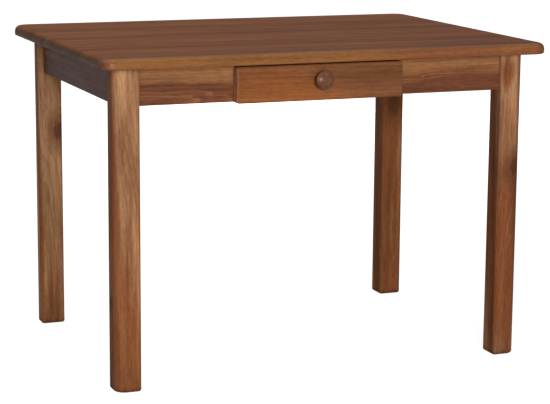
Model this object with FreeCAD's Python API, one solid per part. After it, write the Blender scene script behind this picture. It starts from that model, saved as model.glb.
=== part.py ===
import FreeCAD, Part
import os
from math import cos, radians, sin, sqrt

# Tavern table with one drawer, in millimetres.
# X runs along the table, -Y is the drawer's side, Z is up and the feet stand on Z = 0.

# Table top: boards glued edge to edge
TABLE_HEIGHT = 760.0
TOP_LENGTH = 1090.0
TOP_WIDTH = 820.0
TOP_THICK = 25.0
END_OVERHANG = 40.0        # from a leg's outer face to the end of the top
FRONT_OVERHANG = 50.0      # the same at the front and the back
TOP_CORNER_R = 40.0        # corners seen from above
TOP_ROUND_R = 14.0         # upper edge
TOP_EASE_R = 4.0           # lower edge
BOARD_COUNT = 7

# Legs
LEG_SIZE = 60.0
LEG_ROUND_R = 26.0         # the corner that faces outwards
LEG_EASE_R = 8.0           # the other three corners
FOOT_ROUND_R = 5.0         # the edge round the foot
LEG_FLAT = 10.0            # flat on the inner corner behind the bracket, along each face

# Aprons, set back from the legs' outer faces
APRON_HEIGHT = 88.0
APRON_THICK = 22.0
APRON_SETBACK = 14.0
APRON_EASE_R = 2.0

# Dowels between aprons and legs
DOWEL_R = 4.0
DOWEL_LENGTH = 50.0
DOWEL_FIT = 0.1            # room all round a dowel
DOWEL_END_ROOM = 1.0       # room for glue at each end
LONG_DOWEL_EDGE = 19.0     # from the edges of the front and back aprons
SIDE_DOWEL_EDGE = 31.0     # from the edges of the left and right aprons

# Corner brackets: bent sheet steel hooked into saw kerfs
BRACKET_THICK = 2.0
BRACKET_GAP = 8.0          # from the leg's flat to the bracket's web
BRACKET_FLANGE = 28.0
BRACKET_MARGIN = 15.0      # from the bracket to the apron's upper and lower edges
BRACKET_BEND_R = 1.5       # inside of each bend
BRACKET_SCREW_EDGE = 12.0
HOOK_DEPTH = 6.0
KERF_FIT = 0.5
BOLT_R = 4.0
BOLT_FIT = 0.5             # room round the bolt in the bracket and the washer
BOLT_BITE = 42.0           # depth in the leg
BOLT_TIP = 6.0
BOLT_SPARE = 6.0           # length past the nut
WASHER_R = 11.0
WASHER_THICK = 1.6
NUT_FLATS = 13.0
NUT_THICK = 6.5
PILOT_FIT = 0.05           # room round what is screwed in

# Screws and pins
SCREW_R = 2.0
SCREW_HEAD_R = 4.0
SCREW_HEAD_H = 2.4
SCREW_CROWN_R = 2.0        # flat on top of a pan head
SCREW_RIM_H = 0.8          # upright rim of a pan head
SCREW_FIT = 0.1
SCREW_COVER = 8.0          # wood left in front of a screw's tip
PIN_R = 0.9
PIN_BITE = 14.0
BACK_PIN_INSET = 14.0
BACK_PIN_COUNT = 2
PANEL_PIN_INSET = 60.0
PANEL_PIN_COUNT = 3

# Cleats that hold the top to the aprons
CLEAT_SIZE = 18.0
CLEAT_END_GAP = 12.0
CLEAT_ROOM = 2.0           # between the cleats and the drawer guides below
CLEAT_UP_INSET = 30.0      # first screw into the top, from the cleat's end
CLEAT_IN_INSET = 55.0      # first screw into the apron, from the cleat's end
CLEAT_UP_COUNT = 2
BACK_CLEAT_UP_COUNT = 3
CLEAT_IN_COUNT = 2

# Drawer front, which laps over the cut-out in the front apron
DRAWER_CENTRE_X = -21.0
DRAWER_FRONT_WIDTH = 406.0
DRAWER_FRONT_THICK = 28.0
FRONT_TOP_GAP = 6.5        # below the table top
FRONT_DROP = 1.5           # below the apron's lower edge
FRONT_CORNER_R = 6.0
FRONT_EDGE_R = 5.0
FRONT_LAP = 13.0           # past the cut-out on each side
NOTCH_RAIL = 17.0          # wood left under the cut-out
NOTCH_SIDE_GAP = 3.0
RUNNING_GAP = 0.3

# Drawer box
DRAWER_REAR_ROOM = 160.0   # from the drawer to the back apron
DRAWER_KEEP = 140.0        # length that stays in the table when the drawer is open
SIDE_THICK = 12.0
BACK_THICK = 12.0
BACK_INSET = 8.0
BACK_HOUSING = 4.0
PANEL_THICK = 4.0
PANEL_RISE = 6.0           # groove above the sides' lower edge
GROOVE_DEPTH = 5.0
GROOVE_FIT = 0.2
DOVETAIL_DEPTH = 7.0
DOVETAIL_SHOULDER = 2.7    # on each face of the drawer side
DOVETAIL_FLARE = 1.3
GLUE_GAP = 0.1

# Knob
KNOB_R = 22.0
KNOB_RISE = 7.0            # above the middle of the drawer front
KNOB_FOOT_R = 12.5
KNOB_FOOT_H = 3.0
KNOB_NECK_R = 8.0
KNOB_NECK_D = 9.0          # distance of the narrowest place from the drawer front
KNOB_RIM_D = 20.5          # distance of the widest place
KNOB_RIM_R = 6.0           # roundness of the rim
KNOB_DEPTH = 35.0
KNOB_SCREW_BITE = 17.0

# Drawer guides, the ledges under them and the stop
GUIDE_THICK = 22.0
GUIDE_GAP = 1.0
GUIDE_DOWEL_R = 3.0
GUIDE_DOWEL_LENGTH = 28.0
GUIDE_DOWEL_EDGE = 14.0
LEDGE_WIDTH = 16.0
LEDGE_THICK = 14.0
LEDGE_RISE = 2.0           # above the wood left under the cut-out
LEDGE_SCREW_INSET = 60.0
LEDGE_SCREW_COUNT = 3
STOP_WIDTH = 20.0
STOP_HEIGHT = 8.0
STOP_CLEAR = 5.0           # from the stop down to the drawer's sides
STOP_CATCH = 4.0           # how far the drawer's back reaches up behind the stop
STOP_SCREW_INSET = 60.0
STOP_SCREW_COUNT = 2

CUT_PAST = 1.0             # how far a cutting body runs past the surface it opens
SAME_PLACE = 1e-6          # two coordinates closer than this are the same

V = FreeCAD.Vector
UP = V(0, 0, 1)
DIAGONAL = V(-1 / sqrt(2), -1 / sqrt(2), 0)

# Planes worked out from the sizes above; corner parts are made at the back right corner
UNDERSIDE = TABLE_HEIGHT - TOP_THICK
LEG_X = TOP_LENGTH / 2 - END_OVERHANG
LEG_Y = TOP_WIDTH / 2 - FRONT_OVERHANG
LEG_IN_X = LEG_X - LEG_SIZE
LEG_IN_Y = LEG_Y - LEG_SIZE
APRON_OUT_X = LEG_X - APRON_SETBACK
APRON_OUT_Y = LEG_Y - APRON_SETBACK
APRON_IN_X = APRON_OUT_X - APRON_THICK
APRON_IN_Y = APRON_OUT_Y - APRON_THICK
APRON_BOTTOM = UNDERSIDE - APRON_HEIGHT
APRON_MID = UNDERSIDE - APRON_HEIGHT / 2

CORNERS = {"front_left": (-1, -1), "front_right": (1, -1), "back_left": (-1, 1), "back_right": (1, 1)}


def block(x0, x1, y0, y1, z0, z1):
    """A box between two corners."""
    return Part.makeBox(x1 - x0, y1 - y0, z1 - z0, V(x0, y0, z0))


def prism(outline, z0, z1):
    """An outline of (x, y) points drawn up from z0 to z1."""
    points = [V(x, y, z0) for x, y in outline]
    return Part.Face(Part.makePolygon(points + points[:1])).extrude(V(0, 0, z1 - z0))


def turned(outline):
    """An outline of (radius, height) points turned about Z."""
    points = [V(r, 0, h) for r, h in outline]
    return Part.Face(Part.makePolygon(points + points[:1])).revolve(V(0, 0, 0), UP, 360)


def aimed(shape, place, direction):
    """A shape made along Z, moved to a place and turned to a direction."""
    moved = shape.copy()
    moved.Placement = FreeCAD.Placement(place, FreeCAD.Rotation(UP, direction))
    return moved


def to_corner(shape, corner):
    """A shape made at the back right corner, mirrored to the named corner."""
    side_x, side_y = CORNERS[corner]
    if side_x < 0:
        shape = shape.mirror(V(0, 0, 0), V(1, 0, 0))
    if side_y < 0:
        shape = shape.mirror(V(0, 0, 0), V(0, 1, 0))
    return shape


def cut_all(shape, tools):
    """The shape with every tool cut away."""
    return shape.cut(Part.makeCompound(tools)) if tools else shape


def upright_edges(shape, x=None, y=None):
    """Vertical edges, at a given x and y where these are given."""
    found = []
    for edge in shape.Edges:
        a, b = edge.Vertexes[0].Point, edge.Vertexes[-1].Point
        if abs(a.z - b.z) < SAME_PLACE or abs(a.x - b.x) + abs(a.y - b.y) > SAME_PLACE:
            continue
        if (x is None or abs(a.x - x) < SAME_PLACE) and (y is None or abs(a.y - y) < SAME_PLACE):
            found.append(edge)
    return found


def edges_in_plane(shape, axis, value):
    """Edges that lie in the plane where a coordinate has the given value."""
    return [e for e in shape.Edges if all(abs(v.Point[axis] - value) < SAME_PLACE for v in e.Vertexes)]


def flush_screw(length, room=0.0):
    """A countersunk wood screw along Z, its head flush at Z = 0."""
    r = SCREW_R + room
    head = SCREW_HEAD_R + room
    return turned([(0, 0), (head, 0), (r, head - r), (r, length - 2 * r), (0, length + room)])


def pan_screw(length):
    """A pan head wood screw along Z, the head's seat at Z = 0."""
    head, tall = SCREW_HEAD_R, SCREW_HEAD_H
    cap = [(0, -tall), (SCREW_CROWN_R, -tall), (head, -SCREW_RIM_H), (head, 0)]
    return turned(cap + [(SCREW_R, 0), (SCREW_R, length - 2 * SCREW_R), (0, length)])


def pilot(radius, length):
    """The hole for a screw's shank, with a little room."""
    return Part.makeCylinder(radius, length + CUT_PAST, V(0, 0, -CUT_PAST))


# Table top

def table_top():
    """The whole top, before it is divided into boards."""
    slab = block(-TOP_LENGTH / 2, TOP_LENGTH / 2, -TOP_WIDTH / 2, TOP_WIDTH / 2, UNDERSIDE, TABLE_HEIGHT)
    slab = slab.makeFillet(TOP_CORNER_R, upright_edges(slab))
    slab = slab.makeFillet(TOP_ROUND_R, edges_in_plane(slab, 2, TABLE_HEIGHT))
    return slab.makeFillet(TOP_EASE_R, edges_in_plane(slab, 2, UNDERSIDE))


def top_boards(holes):
    """The boards, front to back, with the holes of the screws that hold the top."""
    whole = cut_all(table_top(), holes)
    width = TOP_WIDTH / BOARD_COUNT
    boards = []
    for i in range(BOARD_COUNT):
        y = -TOP_WIDTH / 2 + i * width
        strip = block(-TOP_LENGTH, TOP_LENGTH, y, y + width, 0, TABLE_HEIGHT + CUT_PAST)
        boards.append(whole.common(strip))
    return boards


# Dowels of the corner joints

def corner_dowel_spots():
    """Place and direction of each dowel's middle at the back right corner."""
    apron_y = (APRON_OUT_Y + APRON_IN_Y) / 2
    apron_x = (APRON_OUT_X + APRON_IN_X) / 2
    spots = []
    for side in (-1, 1):
        long_z = APRON_MID + side * (APRON_HEIGHT / 2 - LONG_DOWEL_EDGE)
        side_z = APRON_MID + side * (APRON_HEIGHT / 2 - SIDE_DOWEL_EDGE)
        spots.append((V(LEG_IN_X, apron_y, long_z), V(1, 0, 0)))
        spots.append((V(apron_x, LEG_IN_Y, side_z), V(0, 1, 0)))
    return spots


def corner_dowels(room=0.0, end_room=0.0):
    """The dowels at the back right corner, or their holes where room is given."""
    length = DOWEL_LENGTH + 2 * end_room
    return [Part.makeCylinder(DOWEL_R + room, length, place - direction * (length / 2), direction)
            for place, direction in corner_dowel_spots()]


# Corner brackets and hanger bolts; distances along the diagonal start at the leg's inner corner

FLAT_AT = -LEG_FLAT / sqrt(2)
WEB_NEAR = FLAT_AT + BRACKET_GAP
WEB_FAR = WEB_NEAR + BRACKET_THICK
APRON_DEPTH = APRON_IN_X - LEG_IN_X            # how far the aprons' inner faces lie behind the leg's
HOOK_AT = WEB_NEAR * sqrt(2) + APRON_DEPTH + BRACKET_FLANGE
BRACKET_END = HOOK_AT + BRACKET_THICK
BRACKET_HEIGHT = APRON_HEIGHT - 2 * BRACKET_MARGIN
BRACKET_SCREW_LENGTH = BRACKET_THICK + APRON_THICK - SCREW_COVER


def on_diagonal(distance):
    """A point on the bolt's axis."""
    return V(LEG_IN_X, LEG_IN_Y, APRON_MID) + DIAGONAL * distance


def bolt_hole(radius, near, far):
    """A round hole along the bolt's axis."""
    return Part.makeCylinder(radius, far - near, on_diagonal(near), DIAGONAL)


def bracket_screw_spots():
    """Place of each bracket screw's seat and its direction into an apron."""
    along = WEB_NEAR * sqrt(2) + APRON_DEPTH + BRACKET_FLANGE / 2
    seat = BRACKET_THICK - APRON_DEPTH
    spots = []
    for side in (-1, 1):
        z = APRON_MID + side * (BRACKET_HEIGHT / 2 - BRACKET_SCREW_EDGE)
        spots.append((V(LEG_IN_X - along, LEG_IN_Y - seat, z), V(0, 1, 0)))
        spots.append((V(LEG_IN_X - seat, LEG_IN_Y - along, z), V(1, 0, 0)))
    return spots


def swapped(points):
    """Points mirrored in the corner's diagonal."""
    return [(v, u) for u, v in points]


def bracket():
    """Bent sheet: web across the corner, two flanges on the aprons and two hooks in the kerfs."""
    t = BRACKET_THICK
    face = -APRON_DEPTH
    bend_out = WEB_NEAR * sqrt(2) + APRON_DEPTH
    bend_in = WEB_FAR * sqrt(2) + APRON_DEPTH - t
    tip = face - HOOK_DEPTH
    wood_side = [(HOOK_AT, tip), (HOOK_AT, face), (bend_out, face)]
    room_side = [(bend_in, face + t), (BRACKET_END, face + t), (BRACKET_END, tip)]
    outline = wood_side + swapped(wood_side[::-1]) + swapped(room_side[::-1]) + room_side
    plate = prism([(LEG_IN_X - u, LEG_IN_Y - v) for u, v in outline],
                  APRON_MID - BRACKET_HEIGHT / 2, APRON_MID + BRACKET_HEIGHT / 2)
    inside_bends = [(bend_in, face + t), (HOOK_AT, face)]
    outside_bends = [(bend_out, face), (BRACKET_END, face + t)]
    for bends, radius in ((inside_bends, BRACKET_BEND_R), (outside_bends, BRACKET_BEND_R + t)):
        spots = bends + swapped(bends)
        edges = [upright_edges(plate, LEG_IN_X - u, LEG_IN_Y - v)[0] for u, v in spots]
        plate = plate.makeFillet(radius, edges)
    holes = [bolt_hole(BOLT_R + BOLT_FIT, WEB_NEAR - CUT_PAST, WEB_FAR + CUT_PAST)]
    for place, direction in bracket_screw_spots():
        start = place + direction * -CUT_PAST
        holes.append(Part.makeCylinder(SCREW_R + SCREW_FIT, t + 2 * CUT_PAST, start, direction))
    return cut_all(plate, holes)


def hanger_bolt():
    """A bolt with a wood-thread end in the leg and a machine-thread end through the bracket."""
    start = FLAT_AT - BOLT_BITE
    length = WEB_FAR + WASHER_THICK + NUT_THICK + BOLT_SPARE - start
    shank = turned([(0, 0), (BOLT_R, BOLT_TIP), (BOLT_R, length), (0, length)])
    return aimed(shank, on_diagonal(start), DIAGONAL)


def washer():
    """A flat washer on the bracket's web."""
    ring = Part.makeCylinder(WASHER_R, WASHER_THICK, on_diagonal(WEB_FAR), DIAGONAL)
    return ring.cut(bolt_hole(BOLT_R + BOLT_FIT, WEB_FAR - CUT_PAST, WEB_FAR + WASHER_THICK + CUT_PAST))


def nut():
    """A hexagon nut on the washer."""
    corner_r = NUT_FLATS / sqrt(3)
    turns = [radians(60 * i) for i in range(6)]
    hexagon = [(corner_r * cos(turn), corner_r * sin(turn)) for turn in turns]
    body = aimed(prism(hexagon, 0, NUT_THICK), on_diagonal(WEB_FAR + WASHER_THICK), DIAGONAL)
    near = WEB_FAR + WASHER_THICK
    return body.cut(bolt_hole(BOLT_R + PILOT_FIT, near - CUT_PAST, near + NUT_THICK + CUT_PAST))


# Legs

def leg():
    """A leg at the back right corner: rounded outwards, with a flat for the bracket's bolt."""
    post = block(LEG_IN_X, LEG_X, LEG_IN_Y, LEG_Y, 0, UNDERSIDE)
    eased = upright_edges(post, x=LEG_IN_X) + upright_edges(post, LEG_X, LEG_IN_Y)
    post = post.makeFillet(LEG_EASE_R, eased)
    post = post.makeFillet(LEG_ROUND_R, upright_edges(post, LEG_X, LEG_Y))
    post = post.makeFillet(FOOT_ROUND_R, edges_in_plane(post, 2, 0.0))
    past = CUT_PAST
    flat = prism([(LEG_IN_X - past, LEG_IN_Y - past), (LEG_IN_X + LEG_FLAT + past, LEG_IN_Y - past),
                  (LEG_IN_X - past, LEG_IN_Y + LEG_FLAT + past)], APRON_BOTTOM, UNDERSIDE + past)
    bolt = bolt_hole(BOLT_R + PILOT_FIT, FLAT_AT - BOLT_BITE - DOWEL_END_ROOM, FLAT_AT + past)
    return cut_all(post, [flat, bolt] + corner_dowels(DOWEL_FIT, DOWEL_END_ROOM))


# Drawer places

FRONT_Z0 = APRON_BOTTOM - FRONT_DROP
FRONT_Z1 = UNDERSIDE - FRONT_TOP_GAP
FRONT_BACK_Y = -APRON_OUT_Y - RUNNING_GAP
FRONT_FACE_Y = FRONT_BACK_Y - DRAWER_FRONT_THICK
NOTCH_HALF = DRAWER_FRONT_WIDTH / 2 - FRONT_LAP
NOTCH_BOTTOM = APRON_BOTTOM + NOTCH_RAIL
BOX_HALF = NOTCH_HALF - NOTCH_SIDE_GAP
BOX_IN_HALF = BOX_HALF - SIDE_THICK
LEDGE_TOP = NOTCH_BOTTOM + LEDGE_RISE
LEDGE_BOTTOM = LEDGE_TOP - LEDGE_THICK
SIDE_Z0 = LEDGE_TOP + RUNNING_GAP
SIDE_Z1 = UNDERSIDE - STOP_HEIGHT - STOP_CLEAR
SIDE_REAR_Y = APRON_IN_Y - DRAWER_REAR_ROOM
PANEL_Z0 = SIDE_Z0 + PANEL_RISE
PANEL_Z1 = PANEL_Z0 + PANEL_THICK
PANEL_HALF = BOX_IN_HALF + GROOVE_DEPTH - GROOVE_FIT
BACK_Y1 = SIDE_REAR_Y - BACK_INSET
BACK_Y0 = BACK_Y1 - BACK_THICK
BACK_Z0 = PANEL_Z1 + GLUE_GAP
BACK_Z1 = UNDERSIDE - STOP_HEIGHT + STOP_CATCH
KNOB_PLACE = V(DRAWER_CENTRE_X, FRONT_FACE_Y, (FRONT_Z0 + FRONT_Z1) / 2 + KNOB_RISE)
TRAVEL = SIDE_REAR_Y - FRONT_BACK_Y - DRAWER_KEEP
STOP_Y1 = BACK_Y0 - TRAVEL - RUNNING_GAP
STOP_Y0 = STOP_Y1 - STOP_WIDTH
GUIDE_IN_HALF = BOX_HALF + GUIDE_GAP
GUIDE_OUT_HALF = GUIDE_IN_HALF + GUIDE_THICK
GUIDE_Z1 = UNDERSIDE - CLEAT_SIZE - CLEAT_ROOM


def drawer_block(half_from, half_to, side, y0, y1, z0, z1):
    """A box beside the drawer's middle line, on the left (-1) or right (1)."""
    xs = sorted((DRAWER_CENTRE_X + side * half_from, DRAWER_CENTRE_X + side * half_to))
    return block(xs[0], xs[1], y0, y1, z0, z1)


# Cleats and the screws that hold them

CLEAT_HALF_X = LEG_IN_X - BRACKET_END - CLEAT_END_GAP
CLEAT_HALF_Y = LEG_IN_Y - BRACKET_END - CLEAT_END_GAP
FRONT_CLEAT_LEFT = DRAWER_CENTRE_X - GUIDE_OUT_HALF - CLEAT_END_GAP
FRONT_CLEAT_RIGHT = DRAWER_CENTRE_X + GUIDE_OUT_HALF + CLEAT_END_GAP


def spread(start, end, inset, count):
    """Evenly spaced places from one inset end to the other."""
    step = (end - start - 2 * inset) / (count - 1)
    return [start + inset + i * step for i in range(count)]


def cleat(axis, start, end, wall, inwards, count=CLEAT_UP_COUNT):
    """A cleat along X (axis 0) or Y (axis 1) on an apron's inner face, with its screws.

    wall is the apron's inner face, inwards the sign of the way to the table's middle,
    count the number of screws into the top.
    Returns the cleat, its screws into the top, its screws into the apron and both sets of holes.
    """
    def at(along, across, z):
        return V(along, across, z) if axis == 0 else V(across, along, z)

    near, far = sorted((wall, wall + inwards * CLEAT_SIZE))
    z0 = UNDERSIDE - CLEAT_SIZE
    low, high = at(start, near, z0), at(end, far, UNDERSIDE)
    strip = block(low.x, high.x, low.y, high.y, low.z, high.z)
    middle = (near + far) / 2
    into_apron = at(0, -inwards, 0)
    ups = [(at(s, middle, z0), UP) for s in spread(start, end, CLEAT_UP_INSET, count)]
    ins = [(at(s, wall + inwards * CLEAT_SIZE, z0 + CLEAT_SIZE / 2), into_apron)
           for s in spread(start, end, CLEAT_IN_INSET, CLEAT_IN_COUNT)]
    up_length = CLEAT_SIZE + TOP_THICK - SCREW_COVER
    in_length = CLEAT_SIZE + APRON_THICK - SCREW_COVER
    up_holes = [aimed(flush_screw(up_length, SCREW_FIT), *spot) for spot in ups]
    in_holes = [aimed(flush_screw(in_length, SCREW_FIT), *spot) for spot in ins]
    return {
        "strip": cut_all(strip, up_holes + in_holes),
        "ups": [aimed(flush_screw(up_length), *spot) for spot in ups],
        "ins": [aimed(flush_screw(in_length), *spot) for spot in ins],
        "up_holes": up_holes,
        "in_holes": in_holes,
    }


CLEATS = {
    "left_cleat": cleat(1, -CLEAT_HALF_Y, CLEAT_HALF_Y, -APRON_IN_X, 1),
    "right_cleat": cleat(1, -CLEAT_HALF_Y, CLEAT_HALF_Y, APRON_IN_X, -1),
    "back_cleat": cleat(0, -CLEAT_HALF_X, CLEAT_HALF_X, APRON_IN_Y, -1, BACK_CLEAT_UP_COUNT),
    "front_left_cleat": cleat(0, -CLEAT_HALF_X, FRONT_CLEAT_LEFT, -APRON_IN_Y, 1),
    "front_right_cleat": cleat(0, FRONT_CLEAT_RIGHT, CLEAT_HALF_X, -APRON_IN_Y, 1),
}


def cleat_list(key):
    """One list out of every cleat's, in order."""
    return [solid for made in CLEATS.values() for solid in made[key]]


# Drawer guides, ledges and stop

def guide_dowels(side, room=0.0, end_room=0.0):
    """The dowels at both ends of a guide, or their holes where room is given."""
    x = DRAWER_CENTRE_X + side * (GUIDE_IN_HALF + GUIDE_OUT_HALF) / 2
    length = GUIDE_DOWEL_LENGTH + 2 * end_room
    return [Part.makeCylinder(GUIDE_DOWEL_R + room, length, V(x, y - length / 2, z), V(0, 1, 0))
            for y in (-APRON_IN_Y, APRON_IN_Y)
            for z in (LEDGE_BOTTOM + GUIDE_DOWEL_EDGE, GUIDE_Z1 - GUIDE_DOWEL_EDGE)]


def ledge_screws(side, room=0.0):
    """Screws through a ledge into its guide, or their holes where room is given."""
    x = DRAWER_CENTRE_X + side * (GUIDE_IN_HALF - LEDGE_WIDTH)
    z = (LEDGE_TOP + LEDGE_BOTTOM) / 2
    screw = flush_screw(LEDGE_WIDTH + GUIDE_THICK - SCREW_COVER, room)
    return [aimed(screw, V(x, y, z), V(side, 0, 0))
            for y in spread(-APRON_IN_Y, APRON_IN_Y, LEDGE_SCREW_INSET, LEDGE_SCREW_COUNT)]


def guide(side):
    """The strip beside the drawer, between the front and back aprons."""
    strip = drawer_block(GUIDE_IN_HALF, GUIDE_OUT_HALF, side, -APRON_IN_Y, APRON_IN_Y, LEDGE_BOTTOM, GUIDE_Z1)
    return cut_all(strip, guide_dowels(side, DOWEL_FIT, DOWEL_END_ROOM) + ledge_screws(side, SCREW_FIT))


def ledge(side):
    """The strip that a drawer side slides on, screwed to its guide."""
    strip = drawer_block(GUIDE_IN_HALF - LEDGE_WIDTH, GUIDE_IN_HALF, side, -APRON_IN_Y, APRON_IN_Y,
                         LEDGE_BOTTOM, LEDGE_TOP)
    return cut_all(strip, ledge_screws(side, SCREW_FIT))


def stop_screws(room=0.0):
    """Screws through the stop into the top, or their holes where room is given."""
    half = GUIDE_IN_HALF
    screw = flush_screw(STOP_HEIGHT + TOP_THICK - SCREW_COVER, room)
    return [aimed(screw, V(DRAWER_CENTRE_X + x, (STOP_Y0 + STOP_Y1) / 2, UNDERSIDE - STOP_HEIGHT), UP)
            for x in spread(-half, half, STOP_SCREW_INSET, STOP_SCREW_COUNT)]


def drawer_stop():
    """The strip under the top that catches the drawer's back."""
    strip = drawer_block(-GUIDE_IN_HALF, GUIDE_IN_HALF, 1, STOP_Y0, STOP_Y1,
                         UNDERSIDE - STOP_HEIGHT, UNDERSIDE)
    return cut_all(strip, stop_screws(SCREW_FIT))


# Aprons

def bracket_cuts():
    """Kerfs and screw holes that the brackets need, at the back right corner."""
    near, far = HOOK_AT - BRACKET_BEND_R, BRACKET_END + KERF_FIT
    deep = HOOK_DEPTH + KERF_FIT
    z0, z1 = APRON_BOTTOM - CUT_PAST, UNDERSIDE + CUT_PAST
    cuts = [
        block(LEG_IN_X - far, LEG_IN_X - near, APRON_IN_Y - CUT_PAST, APRON_IN_Y + deep, z0, z1),
        block(APRON_IN_X - CUT_PAST, APRON_IN_X + deep, LEG_IN_Y - far, LEG_IN_Y - near, z0, z1),
    ]
    hole = pilot(SCREW_R + SCREW_FIT, BRACKET_SCREW_LENGTH)
    return cuts + [aimed(hole, *spot) for spot in bracket_screw_spots()]


def corner_cuts(names):
    """Dowel holes, kerfs and screw holes at the named corners."""
    tools = bracket_cuts() + corner_dowels(DOWEL_FIT, DOWEL_END_ROOM)
    return [to_corner(tool, name) for name in names for tool in tools]


def eased_board(board):
    """An apron board with its two long lower edges eased."""
    low = edges_in_plane(board, 2, APRON_BOTTOM)
    length = max(edge.Length for edge in low)
    return board.makeFillet(APRON_EASE_R, [edge for edge in low if edge.Length > length / 2])


def long_apron(side):
    """The front (-1) or back (1) apron board, before its cuts."""
    ys = sorted((side * APRON_IN_Y, side * APRON_OUT_Y))
    return eased_board(block(-LEG_IN_X, LEG_IN_X, ys[0], ys[1], APRON_BOTTOM, UNDERSIDE))


def side_apron(side):
    """The left (-1) or right (1) apron with its cuts."""
    xs = sorted((side * APRON_IN_X, side * APRON_OUT_X))
    board = eased_board(block(xs[0], xs[1], -LEG_IN_Y, LEG_IN_Y, APRON_BOTTOM, UNDERSIDE))
    return cut_all(board, corner_cuts(CORNERS) + cleat_list("in_holes"))


def back_apron():
    """The back apron with its cuts."""
    holes = guide_dowels(-1, DOWEL_FIT, DOWEL_END_ROOM) + guide_dowels(1, DOWEL_FIT, DOWEL_END_ROOM)
    return cut_all(long_apron(1), corner_cuts(("back_left", "back_right")) + cleat_list("in_holes") + holes)


def front_apron():
    """The front apron: as the back one, with the drawer's cut-out open to the top."""
    notch = drawer_block(-NOTCH_HALF, NOTCH_HALF, 1, -APRON_OUT_Y - CUT_PAST, -APRON_IN_Y + CUT_PAST,
                         NOTCH_BOTTOM, UNDERSIDE + CUT_PAST)
    holes = guide_dowels(-1, DOWEL_FIT, DOWEL_END_ROOM) + guide_dowels(1, DOWEL_FIT, DOWEL_END_ROOM)
    cuts = corner_cuts(("front_left", "front_right")) + cleat_list("in_holes")
    return cut_all(long_apron(-1), [notch] + cuts + holes)


# Drawer

def dovetail(side, z0, z1, room=0.0):
    """The tongue on a drawer side's front end, or its slot where room is given."""
    middle = DRAWER_CENTRE_X + side * (BOX_HALF - SIDE_THICK / 2)
    neck = SIDE_THICK / 2 - DOVETAIL_SHOULDER + room
    tip = neck + DOVETAIL_FLARE
    root_y = FRONT_BACK_Y + room
    tip_y = FRONT_BACK_Y - DOVETAIL_DEPTH - room
    left = [(middle - tip, tip_y), (middle - neck, root_y)]
    right = [(middle + neck, root_y), (middle + tip, tip_y)]
    return prism(left + right, z0, z1)


def panel_space(room):
    """The drawer's bottom panel, or the groove it lies in where room is given."""
    half = PANEL_HALF + room
    front = FRONT_BACK_Y - GROOVE_DEPTH + GROOVE_FIT - room
    return drawer_block(-half, half, 1, front, BACK_Y1, PANEL_Z0 - room, PANEL_Z1 + room)


def knob_screw():
    """The screw through the drawer front into the knob, its head inside the drawer."""
    seat = V(KNOB_PLACE.x, FRONT_BACK_Y, KNOB_PLACE.z)
    return aimed(pan_screw(DRAWER_FRONT_THICK + KNOB_SCREW_BITE), seat, V(0, -1, 0))


def knob_hole():
    """The knob screw's hole through the drawer front and into the knob."""
    seat = V(KNOB_PLACE.x, FRONT_BACK_Y, KNOB_PLACE.z)
    return aimed(pilot(SCREW_R + SCREW_FIT, DRAWER_FRONT_THICK + KNOB_SCREW_BITE), seat, V(0, -1, 0))


def drawer_front():
    """The front board: softened outside, with dovetail slots and the panel's groove inside."""
    half = DRAWER_FRONT_WIDTH / 2
    board = drawer_block(-half, half, 1, FRONT_FACE_Y, FRONT_BACK_Y, FRONT_Z0, FRONT_Z1)
    across = [e for e in board.Edges if abs(e.Vertexes[0].Point.y - e.Vertexes[-1].Point.y) > SAME_PLACE]
    board = board.makeFillet(FRONT_CORNER_R, across)
    board = board.makeFillet(FRONT_EDGE_R, edges_in_plane(board, 1, FRONT_FACE_Y))
    slots = [dovetail(side, FRONT_Z0 - CUT_PAST, SIDE_Z1 + GLUE_GAP, GLUE_GAP) for side in (-1, 1)]
    return cut_all(board, slots + [panel_space(GROOVE_FIT), knob_hole()])


def back_pins(room=0.0):
    """Pins through the drawer sides into the drawer back."""
    y = (BACK_Y0 + BACK_Y1) / 2
    length = SIDE_THICK + PIN_BITE
    outer = {side: DRAWER_CENTRE_X + side * BOX_HALF for side in (-1, 1)}
    return [Part.makeCylinder(PIN_R + room, length, V(x, y, z), V(-side, 0, 0))
            for side, x in outer.items()
            for z in spread(BACK_Z0, SIDE_Z1, BACK_PIN_INSET, BACK_PIN_COUNT)]


def panel_pins(room=0.0):
    """Pins through the bottom panel into the drawer back's lower edge."""
    y = (BACK_Y0 + BACK_Y1) / 2
    length = PANEL_THICK + PIN_BITE
    return [Part.makeCylinder(PIN_R + room, length, V(DRAWER_CENTRE_X + x, y, PANEL_Z0), UP)
            for x in spread(-BOX_IN_HALF, BOX_IN_HALF, PANEL_PIN_INSET, PANEL_PIN_COUNT)]


def back_shape(room):
    """The drawer back with a tongue at each end, or the housings where room is given."""
    board = drawer_block(-BOX_IN_HALF, BOX_IN_HALF, 1, BACK_Y0, BACK_Y1, BACK_Z0, BACK_Z1)
    half = BOX_IN_HALF + BACK_HOUSING
    tongues = drawer_block(-half - room, half + room, 1, BACK_Y0 - room, BACK_Y1 + room,
                           BACK_Z0 - room, SIDE_Z1)
    return board.fuse(tongues).removeSplitter()


def drawer_side(side):
    """A side with its dovetail tongue, the panel's groove and the back's housing."""
    board = drawer_block(BOX_IN_HALF, BOX_HALF, side, FRONT_BACK_Y, SIDE_REAR_Y, SIDE_Z0, SIDE_Z1)
    board = board.fuse(dovetail(side, SIDE_Z0, SIDE_Z1)).removeSplitter()
    return cut_all(board, [panel_space(GROOVE_FIT), back_shape(GLUE_GAP)] + back_pins(PILOT_FIT))


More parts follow.
